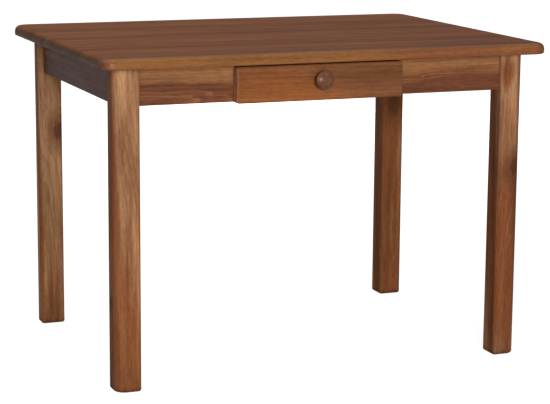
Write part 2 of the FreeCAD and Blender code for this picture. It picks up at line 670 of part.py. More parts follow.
def knob():
    """A turned mushroom knob: foot, hollowed waist, round rim and a dome that runs smoothly into it."""
    foot = V(KNOB_FOOT_R, 0, KNOB_FOOT_H)
    waist = V(KNOB_NECK_R, 0, KNOB_NECK_D)
    rim_x = KNOB_R - KNOB_RIM_R
    rim_low = V(rim_x, 0, KNOB_RIM_D - KNOB_RIM_R)
    rim_out = V(KNOB_R, 0, KNOB_RIM_D)
    crown = V(0, 0, KNOB_DEPTH)
    reach = KNOB_DEPTH - KNOB_RIM_R
    dome_z = (reach ** 2 - rim_x ** 2 - KNOB_RIM_D ** 2) / (2 * (reach - KNOB_RIM_D))
    dome_r = KNOB_DEPTH - dome_z
    to_rim = V(rim_x, 0, KNOB_RIM_D - dome_z).normalize()
    between = (to_rim + UP).normalize()
    rim_top = V(0, 0, dome_z) + to_rim * dome_r
    dome_mid = V(0, 0, dome_z) + between * dome_r
    edges = [
        Part.LineSegment(V(0, 0, 0), V(KNOB_FOOT_R, 0, 0)).toShape(),
        Part.LineSegment(V(KNOB_FOOT_R, 0, 0), foot).toShape(),
        Part.Arc(foot, waist, rim_low).toShape(),
        Part.Arc(rim_low, rim_out, rim_top).toShape(),
        Part.Arc(rim_top, dome_mid, crown).toShape(),
        Part.LineSegment(crown, V(0, 0, 0)).toShape(),
    ]
    body = Part.Face(Part.Wire(edges)).revolve(V(0, 0, 0), UP, 360)
    return aimed(body, KNOB_PLACE, V(0, -1, 0)).cut(knob_hole())


# Every node and its solids

def all_nodes():
    """Node names and shapes, in the order in which the table is put together."""
    nodes = {}
    for i, board in enumerate(top_boards(cleat_list("up_holes") + stop_screws(SCREW_FIT))):
        nodes[f"top_board_{i + 1}"] = board
    for corner in CORNERS:
        nodes[f"{corner}_leg"] = to_corner(leg(), corner)
        nodes[f"{corner}_bracket"] = to_corner(bracket(), corner)
    nodes["front_apron"] = front_apron()
    nodes["back_apron"] = back_apron()
    nodes["left_apron"] = side_apron(-1)
    nodes["right_apron"] = side_apron(1)
    screw = pan_screw(BRACKET_SCREW_LENGTH)
    groups = {
        "apron_dowels": corner_dowels(),
        "hanger_bolts": [hanger_bolt()],
        "bracket_washers": [washer()],
        "bracket_nuts": [nut()],
        "bracket_screws": [aimed(screw, *spot) for spot in bracket_screw_spots()],
    }
    for name, solids in groups.items():
        nodes[name] = Part.makeCompound([to_corner(s, corner) for corner in CORNERS for s in solids])
    for name, made in CLEATS.items():
        nodes[name] = made["strip"]
    nodes["top_screws"] = Part.makeCompound(cleat_list("ups"))
    nodes["cleat_screws"] = Part.makeCompound(cleat_list("ins"))
    for word, side in (("left", -1), ("right", 1)):
        nodes[f"{word}_drawer_guide"] = guide(side)
        nodes[f"{word}_drawer_ledge"] = ledge(side)
        nodes[f"drawer_{word}_side"] = drawer_side(side)
    nodes["guide_dowels"] = Part.makeCompound(guide_dowels(-1) + guide_dowels(1))
    nodes["ledge_screws"] = Part.makeCompound(ledge_screws(-1) + ledge_screws(1))
    nodes["drawer_stop"] = drawer_stop()
    nodes["stop_screws"] = Part.makeCompound(stop_screws())
    nodes["drawer_front"] = drawer_front()
    nodes["drawer_back"] = cut_all(back_shape(0.0), back_pins(PILOT_FIT) + panel_pins(PILOT_FIT))
    nodes["drawer_bottom"] = cut_all(panel_space(0.0), panel_pins(PILOT_FIT))
    nodes["drawer_back_pins"] = Part.makeCompound(back_pins())
    nodes["drawer_bottom_pins"] = Part.makeCompound(panel_pins())
    nodes["drawer_knob"] = knob()
    nodes["knob_screw"] = knob_screw()
    return nodes


os.makedirs("parts", exist_ok=True)
for node, shape in all_nodes().items():
    shape.exportStep(f"parts/{node}.step")
    print(node, len(shape.Solids), round(shape.Volume / 1000, 2), "cm3", shape.isValid())
print("drawer travel", TRAVEL, "mm")
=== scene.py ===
# %% [markdown]
# # A stained pine tavern table
# This lesson dresses a finished table in Blender. The table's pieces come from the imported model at
# their real size, in metres, with the feet on Z = 0, the drawer facing -Y and the length along X.
# Nothing here moves those pieces: they get finishes, a floor, light and a camera. A few small pieces
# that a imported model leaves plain, such as threads and screw recesses, are modelled again in place.

# %% Load the table
import math

import bpy
from mathutils import Matrix, Vector


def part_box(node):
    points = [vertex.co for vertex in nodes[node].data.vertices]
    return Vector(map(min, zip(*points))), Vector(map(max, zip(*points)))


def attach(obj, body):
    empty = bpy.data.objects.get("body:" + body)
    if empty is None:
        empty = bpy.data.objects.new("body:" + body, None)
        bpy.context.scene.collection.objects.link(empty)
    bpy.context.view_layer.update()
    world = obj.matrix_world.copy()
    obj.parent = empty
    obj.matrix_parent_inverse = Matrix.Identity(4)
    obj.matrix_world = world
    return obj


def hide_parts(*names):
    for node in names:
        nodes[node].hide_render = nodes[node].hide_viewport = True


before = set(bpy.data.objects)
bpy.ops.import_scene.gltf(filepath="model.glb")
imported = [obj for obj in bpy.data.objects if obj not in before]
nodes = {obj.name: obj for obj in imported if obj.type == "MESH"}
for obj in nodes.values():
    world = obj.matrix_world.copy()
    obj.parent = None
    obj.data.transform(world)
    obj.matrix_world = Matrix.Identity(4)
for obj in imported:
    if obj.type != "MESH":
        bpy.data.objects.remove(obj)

scene = bpy.context.scene
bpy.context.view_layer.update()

# %% [markdown]
# The camera comes first, because every later choice is judged through it. A camera can be aimed with
# a Track To constraint, but here the view was measured, so its three axes are worked out from a turn
# about Z, a lift above the horizon and a small roll, and written straight into the camera's matrix.

# %% Camera
IMAGE_WIDTH = 550
FOCAL_PIXELS = 1880.2
SENSOR_WIDTH = 36.0
EYE = Vector((-1.6647, -4.2663, 1.2284))
TURN = math.radians(-21.489)
LIFT = math.radians(10.963)
ROLL = math.radians(0.436)

back = Vector((math.sin(TURN) * math.cos(LIFT), -math.cos(TURN) * math.cos(LIFT), math.sin(LIFT)))
level = Vector((math.cos(TURN), math.sin(TURN), 0))
upward = back.cross(level)
camera_x = level * math.cos(ROLL) + upward * math.sin(ROLL)
camera_y = upward * math.cos(ROLL) - level * math.sin(ROLL)

camera_data = bpy.data.cameras.new("camera")
camera_data.sensor_width = SENSOR_WIDTH
camera_data.lens = FOCAL_PIXELS / IMAGE_WIDTH * SENSOR_WIDTH
camera = bpy.data.objects.new("camera", camera_data)
camera.matrix_world = Matrix((camera_x, camera_y, back)).transposed().to_4x4()
camera.location = EYE
scene.collection.objects.link(camera)
scene.camera = camera
print("lens", round(camera_data.lens, 1), "mm")

# %% [markdown]
# Shader trees are long when every node and link is written out. These small helpers add one node,
# set its inputs and return its output, so that a tree reads like a formula. An input may be a plain
# value or the output of another node. A group's sockets are named once, in one dictionary, where the
# default value of a socket also says what kind it is.

# %% Nodes and sums
def feed(tree, socket, value):
    """Sets a socket to a value, or links an output to it."""
    if isinstance(value, bpy.types.NodeSocket):
        tree.links.new(value, socket)
    else:
        socket.default_value = value


def add(tree, kind, inputs=None, **settings):
    """A new node with its settings and inputs."""
    node = tree.nodes.new(kind)
    for name, value in settings.items():
        setattr(node, name, value)
    for name, value in (inputs or {}).items():
        feed(tree, node.inputs[name], value)
    return node


def calc(tree, operation, *values):
    """A Math node's output."""
    return add(tree, "ShaderNodeMath", dict(enumerate(values)), operation=operation).outputs[0]


def plus(tree, first, *others):
    """A sum."""
    for other in others:
        first = calc(tree, "ADD", first, other)
    return first


def times(tree, first, *others):
    """A product."""
    for other in others:
        first = calc(tree, "MULTIPLY", first, other)
    return first


def vector(tree, operation, *values):
    """A Vector Math node's output, which for a length or a dot product is a number."""
    node = add(tree, "ShaderNodeVectorMath", dict(enumerate(values)), operation=operation)
    return node.outputs["Value" if operation in ("LENGTH", "DOT_PRODUCT") else "Vector"]


def scaled(tree, place, factor):
    """A vector made longer or shorter by a number."""
    node = add(tree, "ShaderNodeVectorMath", {0: place, "Scale": factor}, operation="SCALE")
    return node.outputs["Vector"]


def object_place(tree):
    """The shaded place, in metres of the table."""
    return add(tree, "ShaderNodeTexCoord").outputs["Object"]


print("node helpers ready")

# %% Ramps, noises and mixes
HALF = (0.5, 0.5, 0.5)


def ramp(tree, value, low, high, out_low=0.0, out_high=1.0):
    """A smooth step from out_low to out_high while the value goes from low to high."""
    ends = {"Value": value, "From Min": low, "From Max": high, "To Min": out_low, "To Max": out_high}
    return add(tree, "ShaderNodeMapRange", ends, interpolation_type="SMOOTHSTEP").outputs["Result"]


def noise_node(tree, place, seed, cycles, shift=0.0, detail=3.0, roughness=0.55):
    """A noise with so many cycles per metre along X, Y and Z, and a shift of its seed."""
    inputs = {"Vector": vector(tree, "MULTIPLY", place, cycles),
              "W": plus(tree, seed, shift) if shift else seed,
              "Scale": 1.0, "Detail": detail, "Roughness": roughness}
    return add(tree, "ShaderNodeTexNoise", inputs, noise_dimensions="4D")


def noise(*settings, **more):
    """A noise's value, which is 0.5 on average."""
    return noise_node(*settings, **more).outputs[0]


def wobble(tree, *settings, **more):
    """A noise's colour as a vector that points any way."""
    return vector(tree, "SUBTRACT", noise_node(tree, *settings, **more).outputs[1], HALF)


def blend(tree, factor, first, second, how="MIX"):
    """Two colours mixed."""
    node = tree.nodes.new("ShaderNodeMix")
    node.data_type = "RGBA"
    node.blend_type = how
    for index, value in ((0, factor), (6, first), (7, second)):
        feed(tree, node.inputs[index], value)
    return node.outputs[2]


def rgb(red, green, blue):
    """A linear colour with full alpha."""
    return (red, green, blue, 1.0)


print("ramp, noise and colour helpers ready")

# %% Groups and empty materials
SOCKET_KINDS = {1: "NodeSocketFloat", 3: "NodeSocketVector", 4: "NodeSocketColor"}
ORIGIN = (0.0, 0.0, 0.0)


def new_group(name, inputs, outputs):
    """A shader node group with named sockets; returns the group, its inputs and its outputs.

    A number makes a Float socket, three numbers a Vector and four a Color. An output is a number,
    unless it is called Colour.
    """
    group = bpy.data.node_groups.new(name, "ShaderNodeTree")
    for label, value in inputs.items():
        kind = SOCKET_KINDS[len(value) if isinstance(value, tuple) else 1]
        socket = group.interface.new_socket(label, in_out="INPUT", socket_type=kind)
        socket.default_value = value
    for label in outputs:
        kind = SOCKET_KINDS[4 if label == "Colour" else 1]
        group.interface.new_socket(label, in_out="OUTPUT", socket_type=kind)
    source = group.nodes.new("NodeGroupInput")
    result = group.nodes.new("NodeGroupOutput")
    return group, source.outputs, result.inputs


def use(tree, group, **values):
    """The group placed in a tree; underscores in the names stand for spaces."""
    node = tree.nodes.new("ShaderNodeGroup")
    node.node_tree = group
    for name, value in values.items():
        feed(tree, node.inputs[name.replace("_", " ").title()], value)
    return node.outputs


def empty_material(name):
    """A material whose tree has no nodes yet; returns it and the tree."""
    material = bpy.data.materials.new(name)
    material.use_nodes = True
    material.node_tree.nodes.clear()
    return material, material.node_tree


print("sockets can be", sorted(SOCKET_KINDS.values()))

# %% [markdown]
# The floor is one large pale disc, like the paper in a photographer's studio. A glowing floor would be
# white too, but it would light the table from below and swallow the shadow. So only rays from the
# camera, a gloss or a transparent surface see a plain white glow on it, and the rest of its brightness
# still comes from the lamps. A camera looks straight through its underside, so the table can also be
# viewed from below.

# %% The floor's finish
FLOOR_GLOW = (0.86, 1.0)
FLOOR_GLOW_REACH = (1.2, 4.0)
FLOOR_COLOUR = rgb(0.60, 0.60, 0.59)
WHITE = rgb(1, 1, 1)


def seen_background(tree):
    """A mask that is 1 for rays which should see a white background."""
    path = add(tree, "ShaderNodeLightPath").outputs
    seen = calc(tree, "MAXIMUM", path["Is Camera Ray"], path["Is Glossy Ray"])
    return calc(tree, "MAXIMUM", seen, path["Is Transmission Ray"])


def floor_material():
    """White to the camera, pale to the lamps, clear from below."""
    material, tree = empty_material("floor_paper")
    paper = add(tree, "ShaderNodeBsdfDiffuse", {"Color": FLOOR_COLOUR})
    distance = vector(tree, "LENGTH", object_place(tree))
    share = ramp(tree, distance, *FLOOR_GLOW_REACH, *FLOOR_GLOW)
    strength = times(tree, seen_background(tree), share)
    glow = add(tree, "ShaderNodeEmission", {"Color": WHITE, "Strength": strength})
    lit = add(tree, "ShaderNodeAddShader", {0: paper.outputs[0], 1: glow.outputs[0]})
    under = add(tree, "ShaderNodeNewGeometry").outputs["Backfacing"]
    clear = add(tree, "ShaderNodeBsdfTransparent")
    whole = add(tree, "ShaderNodeMixShader", {0: under, 1: lit.outputs[0], 2: clear.outputs[0]})
    add(tree, "ShaderNodeOutputMaterial", {"Surface": whole.outputs[0]})
    return material


FLOOR_PAPER = floor_material()
print("floor finish", FLOOR_PAPER.name)

# %% Floor
FLOOR_RADIUS = 30.0
FLOOR_SIDES = 96


def even_turns(sides):
    """Angles shared out evenly."""
    return [math.tau * i / sides for i in range(sides)]


def ring_at(turns, radius, height):
    """Points round Z; the radius may be a number or a function of the turn."""
    points = []
    for turn in turns:
        r = radius(turn) if callable(radius) else radius
        points.append((r * math.cos(turn), r * math.sin(turn), height))
    return points


def stage_piece(name, places, faces, material):
    """A mesh that belongs to the stage."""
    mesh = bpy.data.meshes.new(name)
    mesh.from_pydata(places, [], faces)
    mesh.materials.append(material)
    piece = bpy.data.objects.new(name, mesh)
    scene.collection.objects.link(piece)
    return piece


FLOOR_TURNS = even_turns(FLOOR_SIDES)
DISC = [list(range(FLOOR_SIDES))]
stage_piece("floor", ring_at(FLOOR_TURNS, FLOOR_RADIUS, 0), DISC, FLOOR_PAPER)
print("floor of", FLOOR_RADIUS, "m radius")

# %% [markdown]
# A picture of a room could light the table, but lamps can be moved one by one until the shading is
# right. The world gives a low, even light to the whole table, and shows white where the camera sees past
# the floor. A wide key lamp stands low in front of the table, a little to the left, so the front is
# bright up to the overhang, the left end is darker and the far legs fall off. A second lamp overhead
# lights the top, and a third fills the back and the right end. Reflections don't see the key and the
# fill lamp, because the top would mirror them straight at a camera on the far side. A small rim lamp far
# back on the left draws the glints along the rounded edge of the top.

# %% World
AMBIENT = 0.16
AMBIENT_COLOUR = rgb(1.0, 0.98, 0.96)


def make_world():
    """White to the camera, a low light to everything else."""
    world = bpy.data.worlds.new("studio")
    world.use_nodes = True
    tree = world.node_tree
    tree.nodes.clear()
    soft = add(tree, "ShaderNodeBackground", {"Color": AMBIENT_COLOUR, "Strength": AMBIENT})
    white = add(tree, "ShaderNodeBackground", {"Color": WHITE, "Strength": 1.0})
    seen = seen_background(tree)
    both = add(tree, "ShaderNodeMixShader", {0: seen, 1: soft.outputs[0], 2: white.outputs[0]})
    add(tree, "ShaderNodeOutputWorld", {"Surface": both.outputs[0]})
    return world


scene.world = make_world()
scene.view_settings.view_transform = "Standard"
print("world", scene.world.name, "gives", AMBIENT)

# %% Lamps
TABLE_MIDDLE = Vector((0.0, 0.0, 0.55))
WARM = (1.0, 0.97, 0.92)


def soft_lamp(name, place, size, watts, mirrored=True):
    """A round area lamp that looks at the table, and that reflections may or may not see."""
    data = bpy.data.lights.new(name, "AREA")
    data.shape = "DISK"
    data.size = size
    data.energy = watts
    data.color = WARM
    lamp = bpy.data.objects.new(name, data)
    lamp.location = place
    lamp.rotation_euler = (TABLE_MIDDLE - Vector(place)).to_track_quat("-Z", "Y").to_euler()
    lamp.visible_glossy = mirrored
    scene.collection.objects.link(lamp)


soft_lamp("key_lamp", place=(-0.8, -5.0, 1.4), size=1.5, watts=170, mirrored=False)
soft_lamp("top_lamp", place=(-1.1, 0.0, 3.1), size=1.6, watts=16.5)
soft_lamp("fill_lamp", place=(1.8, 4.2, 1.5), size=1.5, watts=50, mirrored=False)
soft_lamp("rim_lamp", place=(-3.0, 1.8, 2.3), size=0.35, watts=10)

# %% [markdown]
# A lacquered top seen at a low angle mirrors what stands behind it. In a studio that is often a dark
# curtain, which keeps the wood's colour deep, while an all-white room would lay a grey veil over it. The
# curtain here hangs in a ring round a paler cloth on the floor, and only reflections see the two. The
# cloth puts a faint sheen on the table's left end, which the camera sees at a low angle, and is as dark
# as the curtain under the table. A white card on the left gives the round knob and the upright edges
# their soft highlights.

# %% Curtain, cloth and card
CURTAIN_RADIUS = 7.0
DARK_RADIUS = 2.4
CURTAIN_HEIGHT = 6.0
CLOTH_HEIGHT = 0.001
CURTAIN_GREY = rgb(0.12, 0.12, 0.12)
CLOTH_GREY = rgb(0.46, 0.48, 0.52)
CARD_PLACE = Vector((-2.1, -2.5, 1.07))
CARD_ALONG = Vector((0.7, -0.7, 0.0))
CARD_UP = Vector((0.0, 0.0, 1.0))
CARD_CORNERS = ((-0.5, -0.5), (0.5, -0.5), (0.5, 0.5), (-0.5, 0.5))
CARD_WHITE = rgb(1.0, 0.98, 0.96)
CARD_STRENGTH = 13.0


def for_reflections(name, places, faces, colour, strength=1.0):
    """A stage piece of an even colour that only reflections see."""
    material, tree = empty_material(name)
    cloth = add(tree, "ShaderNodeEmission", {"Color": colour, "Strength": strength})
    add(tree, "ShaderNodeOutputMaterial", {"Surface": cloth.outputs[0]})
    piece = stage_piece(name, places, faces, material)
    for rays in ("camera", "diffuse", "transmission", "shadow"):
        setattr(piece, f"visible_{rays}", False)


under_table = ring_at(FLOOR_TURNS, DARK_RADIUS, CLOTH_HEIGHT)
hem = ring_at(FLOOR_TURNS, CURTAIN_RADIUS, CLOTH_HEIGHT)
rail = ring_at(FLOOR_TURNS, CURTAIN_RADIUS, CURTAIN_HEIGHT)
strips = []
for i in range(FLOOR_SIDES):
    j = (i + 1) % FLOOR_SIDES
    strips.append((i, j, FLOOR_SIDES + j, FLOOR_SIDES + i))
for_reflections("curtain", hem + rail, strips, CURTAIN_GREY)
for_reflections("floor_cloth", under_table + hem, strips, CLOTH_GREY)
for_reflections("dark_cloth", under_table, DISC, CURTAIN_GREY)
card = [CARD_PLACE + CARD_ALONG * across + CARD_UP * up for across, up in CARD_CORNERS]
for_reflections("white_card", card, [(0, 1, 2, 3)], CARD_WHITE, CARD_STRENGTH)
print("curtain of", CURTAIN_RADIUS, "m radius")

# %% [markdown]
# Pine grain can be painted on with a stretched noise, but then the sides and ends of a board don't
# agree. Here the wood is solid: each piece is thought of as sawn from a log, and the distance from the
# log's middle line gives the growth rings. The same formula then draws straight lines on one face,
# arches on the next and curved rings on the end grain. The group takes a place whose X runs along the
# log and whose Y = Z = 0 is its middle.

# %% Node group: pine grain
ACROSS_LOG = (0, 1, 1)
WANDER_REACH = 4.0
UNEVEN_PACE = 0.31
UNEVEN_YEARS = 2.0
LATE_WOOD_BEGINS = (0.30, 0.86)
LATE_WOOD_ENDS = (1.0, 0.92)
STRONG_YEARS = (-0.4, 0.9)


def make_pine_grain():
    """Growth rings, fibres and streaks of a board sawn from a log along X."""
    group, source, result = new_group(
        "pine_grain",
        {"Place": ORIGIN, "Seed": 0.0, "Ring Width": 0.004, "Wander": 0.008, "Ripple": 0.004,
         "Heart Radius": 0.05, "Heart Blur": 0.004, "Push": 0.0},
        ("Late Wood", "Heart", "Streak", "Fibre"))
    place, seed = source["Place"], source["Seed"]
    slow = wobble(group, place, seed, (1.7, 0, 0), detail=1.0)
    lean = scaled(group, slow, times(group, source["Wander"], WANDER_REACH))
    quick = wobble(group, place, seed, (7, 45, 45), shift=7.3, detail=2.0)
    shake = scaled(group, quick, source["Ripple"])
    moved = vector(group, "ADD", vector(group, "ADD", place, lean), shake)
    radius = vector(group, "LENGTH", vector(group, "MULTIPLY", moved, ACROSS_LOG))
    radius = plus(group, radius, source["Push"])
    years = calc(group, "DIVIDE", radius, source["Ring Width"])
    slow_years = plus(group, times(group, years, UNEVEN_PACE), seed)
    uneven = add(group, "ShaderNodeTexNoise", {"W": slow_years, "Scale": 1.0, "Detail": 1.0},
                 noise_dimensions="1D")
    years = plus(group, years, times(group, uneven.outputs[0], UNEVEN_YEARS))
    season = calc(group, "FRACT", years)
    late = times(group, ramp(group, season, *LATE_WOOD_BEGINS), ramp(group, season, *LATE_WOOD_ENDS))
    one_year = plus(group, calc(group, "FLOOR", years), seed)
    year = add(group, "ShaderNodeTexWhiteNoise", {"W": one_year}, noise_dimensions="1D")
    strong = ramp(group, year.outputs["Value"], *STRONG_YEARS)
    feed(group, result["Late Wood"], times(group, late, strong))
    outer = plus(group, source["Heart Radius"], source["Heart Blur"])
    inner = calc(group, "SUBTRACT", source["Heart Radius"], source["Heart Blur"])
    feed(group, result["Heart"], ramp(group, radius, outer, inner))
    streak = noise(group, place, seed, (2.4, 130, 130), shift=3.1, detail=4.0, roughness=0.6)
    feed(group, result["Streak"], streak)
    fibre = noise(group, place, seed, (22, 1300, 1300), shift=5.9, detail=2.0)
    feed(group, result["Fibre"], fibre)
    return group


PINE_GRAIN = make_pine_grain()
print("group", PINE_GRAIN.name, "with", len(PINE_GRAIN.nodes), "nodes")

# %% [markdown]
# A knot is the foot of a branch, a round peg that runs out from the log's middle. It shows as a dark
# spot that fades into a reddish cloud, and the rings bend round it. It could be painted on one face, but
# a real one goes right through the board. So the group measures the distance from the branch's line, and
# also gives a push that bends the rings when it is added to the grain's radius.

# %% Node group: knot
KNOT_STRETCH = (0.62, 1.0, 1.0)
KNOT_RAGGED = 0.9
KNOT_RINGS = 26.0
KNOT_RING_SHADES = (0.65, 1.0)
KNOT_CORE = (1.12, 0.55)
KNOT_HALO = (3.4, 0.6)
KNOT_PUSH = 0.9


def ragged(tree, far, uneven, amount):
    """A distance made uneven by a noise."""
    return plus(tree, far, times(tree, calc(tree, "SUBTRACT", uneven, 0.5), amount))


def make_knot():
    """A branch through a point, along an axis."""
    group, source, result = new_group(
        "knot",
        {"Place": ORIGIN, "Middle": ORIGIN, "Axis": (0, 1, 0), "Size": 0.01, "Seed": 0.0},
        ("Core", "Halo", "Push"))
    away = vector(group, "SUBTRACT", source["Place"], source["Middle"])
    along = scaled(group, source["Axis"], vector(group, "DOT_PRODUCT", away, source["Axis"]))
    across = vector(group, "MULTIPLY", vector(group, "SUBTRACT", away, along), KNOT_STRETCH)
    uneven = noise(group, source["Place"], source["Seed"], (140, 140, 140), detail=2.0)
    far = calc(group, "DIVIDE", vector(group, "LENGTH", across), source["Size"])
    far = ragged(group, far, uneven, KNOT_RAGGED)
    rings = calc(group, "SINE", times(group, far, KNOT_RINGS))
    rings = ramp(group, rings, -1.0, 1.0, *KNOT_RING_SHADES)
    feed(group, result["Core"], times(group, ramp(group, far, *KNOT_CORE), rings))
    halo = ramp(group, far, *KNOT_HALO)
    feed(group, result["Halo"], halo)
    feed(group, result["Push"], times(group, halo, source["Size"], KNOT_PUSH))
    return group


KNOT = make_knot()
print("group", KNOT.name, "with", len(KNOT.nodes), "nodes")

# %% [markdown]
# Heartwood also comes and goes along a board, where the saw cut closer to the log's middle. It could be
# painted on the mesh's points, but a plain board has points only at its corners. A patch is a soft,
# ragged spot stretched along the grain, and gives a mask that is added to the heartwood. On some legs a
# few patches paint shade instead, along edges and corners that turn away from the lamps.

# %% Node group: heart patch
PATCH_RAGGED = 1.6
PATCH_EDGE = (1.35, 0.35)


def make_heart_and_shade_patch():
    """A ragged spot round a middle, with a half-size along each of the log's axes."""
    group, source, result = new_group(
        "heart_and_shade_patch",
        {"Place": ORIGIN, "Middle": ORIGIN, "Half Size": (0.1, 0.03, 0.03), "Seed": 0.0},
        ("Mask",))
    away = vector(group, "SUBTRACT", source["Place"], source["Middle"])
    far = vector(group, "LENGTH", vector(group, "DIVIDE", away, source["Half Size"]))
    uneven = noise(group, source["Place"], source["Seed"], (4, 75, 75), detail=4.0, roughness=0.6)
    feed(group, result["Mask"], ramp(group, ragged(group, far, uneven, PATCH_RAGGED), *PATCH_EDGE))
    return group


HEART_AND_SHADE_PATCH = make_heart_and_shade_patch()
print("group", HEART_AND_SHADE_PATCH.name, "with", len(HEART_AND_SHADE_PATCH.nodes), "nodes")

# %% [markdown]
# Three effects follow the shape instead of the wood: edges rubbed pale by use, joints darkened by stain
# and dust together with painted shade, and end grain. They could be painted by hand, but nodes that read
# the shape find them on every piece. Rubbed edges come from the Bevel node: where its rounded normal turns
# away from the true one, an edge is near. The joint mask comes from the Ambient Occlusion node, which is
# low in narrow corners, so it paints the shade that falls there as well as the dust. End grain is where
# the surface faces along the log. All three only give masks.

# %% Node groups: rubbed edges, joint dust and shade, and end grain
CORNER_SAMPLES = 6
EDGE_TURN = (0.01, 0.16)
WORN_PATCHES = (0.30, 0.62)
CORNER_OPENNESS = (0.75, 0.25)
END_FACING = (0.55, 0.9)


def make_rubbed_edges():
    """A mask that is high along edges, broken up by noise."""
    group, source, result = new_group(
        "rubbed_edges", {"Place": ORIGIN, "Reach": 0.003, "Seed": 0.0}, ("Mask",))
    bent = add(group, "ShaderNodeBevel", {"Radius": source["Reach"]}, samples=CORNER_SAMPLES).outputs[0]
    straight = add(group, "ShaderNodeNewGeometry").outputs["Normal"]
    turn = calc(group, "SUBTRACT", 1.0, vector(group, "DOT_PRODUCT", bent, straight))
    patchy = noise(group, source["Place"], source["Seed"], (18, 18, 18), detail=4.0, roughness=0.65)
    worn = ramp(group, patchy, *WORN_PATCHES)
    feed(group, result["Mask"], times(group, ramp(group, turn, *EDGE_TURN), worn))
    return group


def make_joint_dust_and_shade():
    """A mask that is high in narrow corners, for dust and painted shade."""
    group, source, result = new_group("joint_dust_and_shade", {"Reach": 0.010}, ("Mask",))
    corner = add(group, "ShaderNodeAmbientOcclusion", {"Distance": source["Reach"]},
                 samples=CORNER_SAMPLES)
    feed(group, result["Mask"], ramp(group, corner.outputs["AO"], *CORNER_OPENNESS))
    return group


def make_end_grain():
    """A mask that is high where the surface faces along the log."""
    group, source, result = new_group("end_grain", {"Along": (1, 0, 0)}, ("Mask",))
    facing = add(group, "ShaderNodeNewGeometry").outputs["Normal"]
    turned = add(group, "ShaderNodeVectorTransform", {0: facing}, vector_type="NORMAL",
                 convert_from="WORLD", convert_to="OBJECT").outputs[0]
    along = calc(group, "ABSOLUTE", vector(group, "DOT_PRODUCT", turned, source["Along"]))
    feed(group, result["Mask"], ramp(group, along, *END_FACING))
    return group


RUBBED_EDGES = make_rubbed_edges()
JOINT_DUST_AND_SHADE = make_joint_dust_and_shade()
END_GRAIN = make_end_grain()
print("groups", RUBBED_EDGES.name, JOINT_DUST_AND_SHADE.name, END_GRAIN.name)

# %% [markdown]
# Stain soaks deep into soft early wood and less into hard late wood, heartwood takes it redder than
# sapwood, and end grain takes it in a tone of its own; on the top's boards that tone also holds a painted
# bluish sheen, and on the drawer front's end painted light. One group turns all the masks into a colour,
# a roughness and a relief, so that every wooden piece is mixed the same way and only its colours differ.

# %% Node group: wood finish
# Where a ramp has four numbers, it runs from the first to the second and gives the third to the fourth.
REDDER_CLOUDS = (0.55, 0.30, 0.0, 0.55)
CLOUD_SHADES = (0.25, 0.75, -0.24, 0.24)
SHADES = {"band": (0.28, 0.72, 0.84, 1.16), "streak": (0.25, 0.75, 0.82, 1.18),
          "mottle": (0.30, 0.70, 0.87, 1.13), "fibre": (0.2, 0.8, 0.92, 1.08)}
# Joint is dust with painted shade; the drawer front's pale rubbed edges are partly a painted highlight.
STAINS_AND_PAINTED_LIGHT = (("Halo", 0.50, "Heart Colour"), ("Halo", 0.30, "Knot Colour"), ("Core", 0.60, "Knot Colour"),
          ("Rubbed", 0.35, "Rubbed Colour"), ("Joint", 0.25, "Knot Colour"))
SMEAR_ROUGHNESS = (0.25, 0.8, -0.07, 0.09)
ROUGH_SHARES = {"Fibre": 0.06, "Joint": 0.15}
RELIEF_SHARES = {"Late Wood": 0.5, "Fibre": 0.5, "Core": -0.4}


def weighted(tree, source, shares):
    """The sum of some inputs, each times its share."""
    return plus(tree, *[times(tree, source[name], share) for name, share in shares.items()])


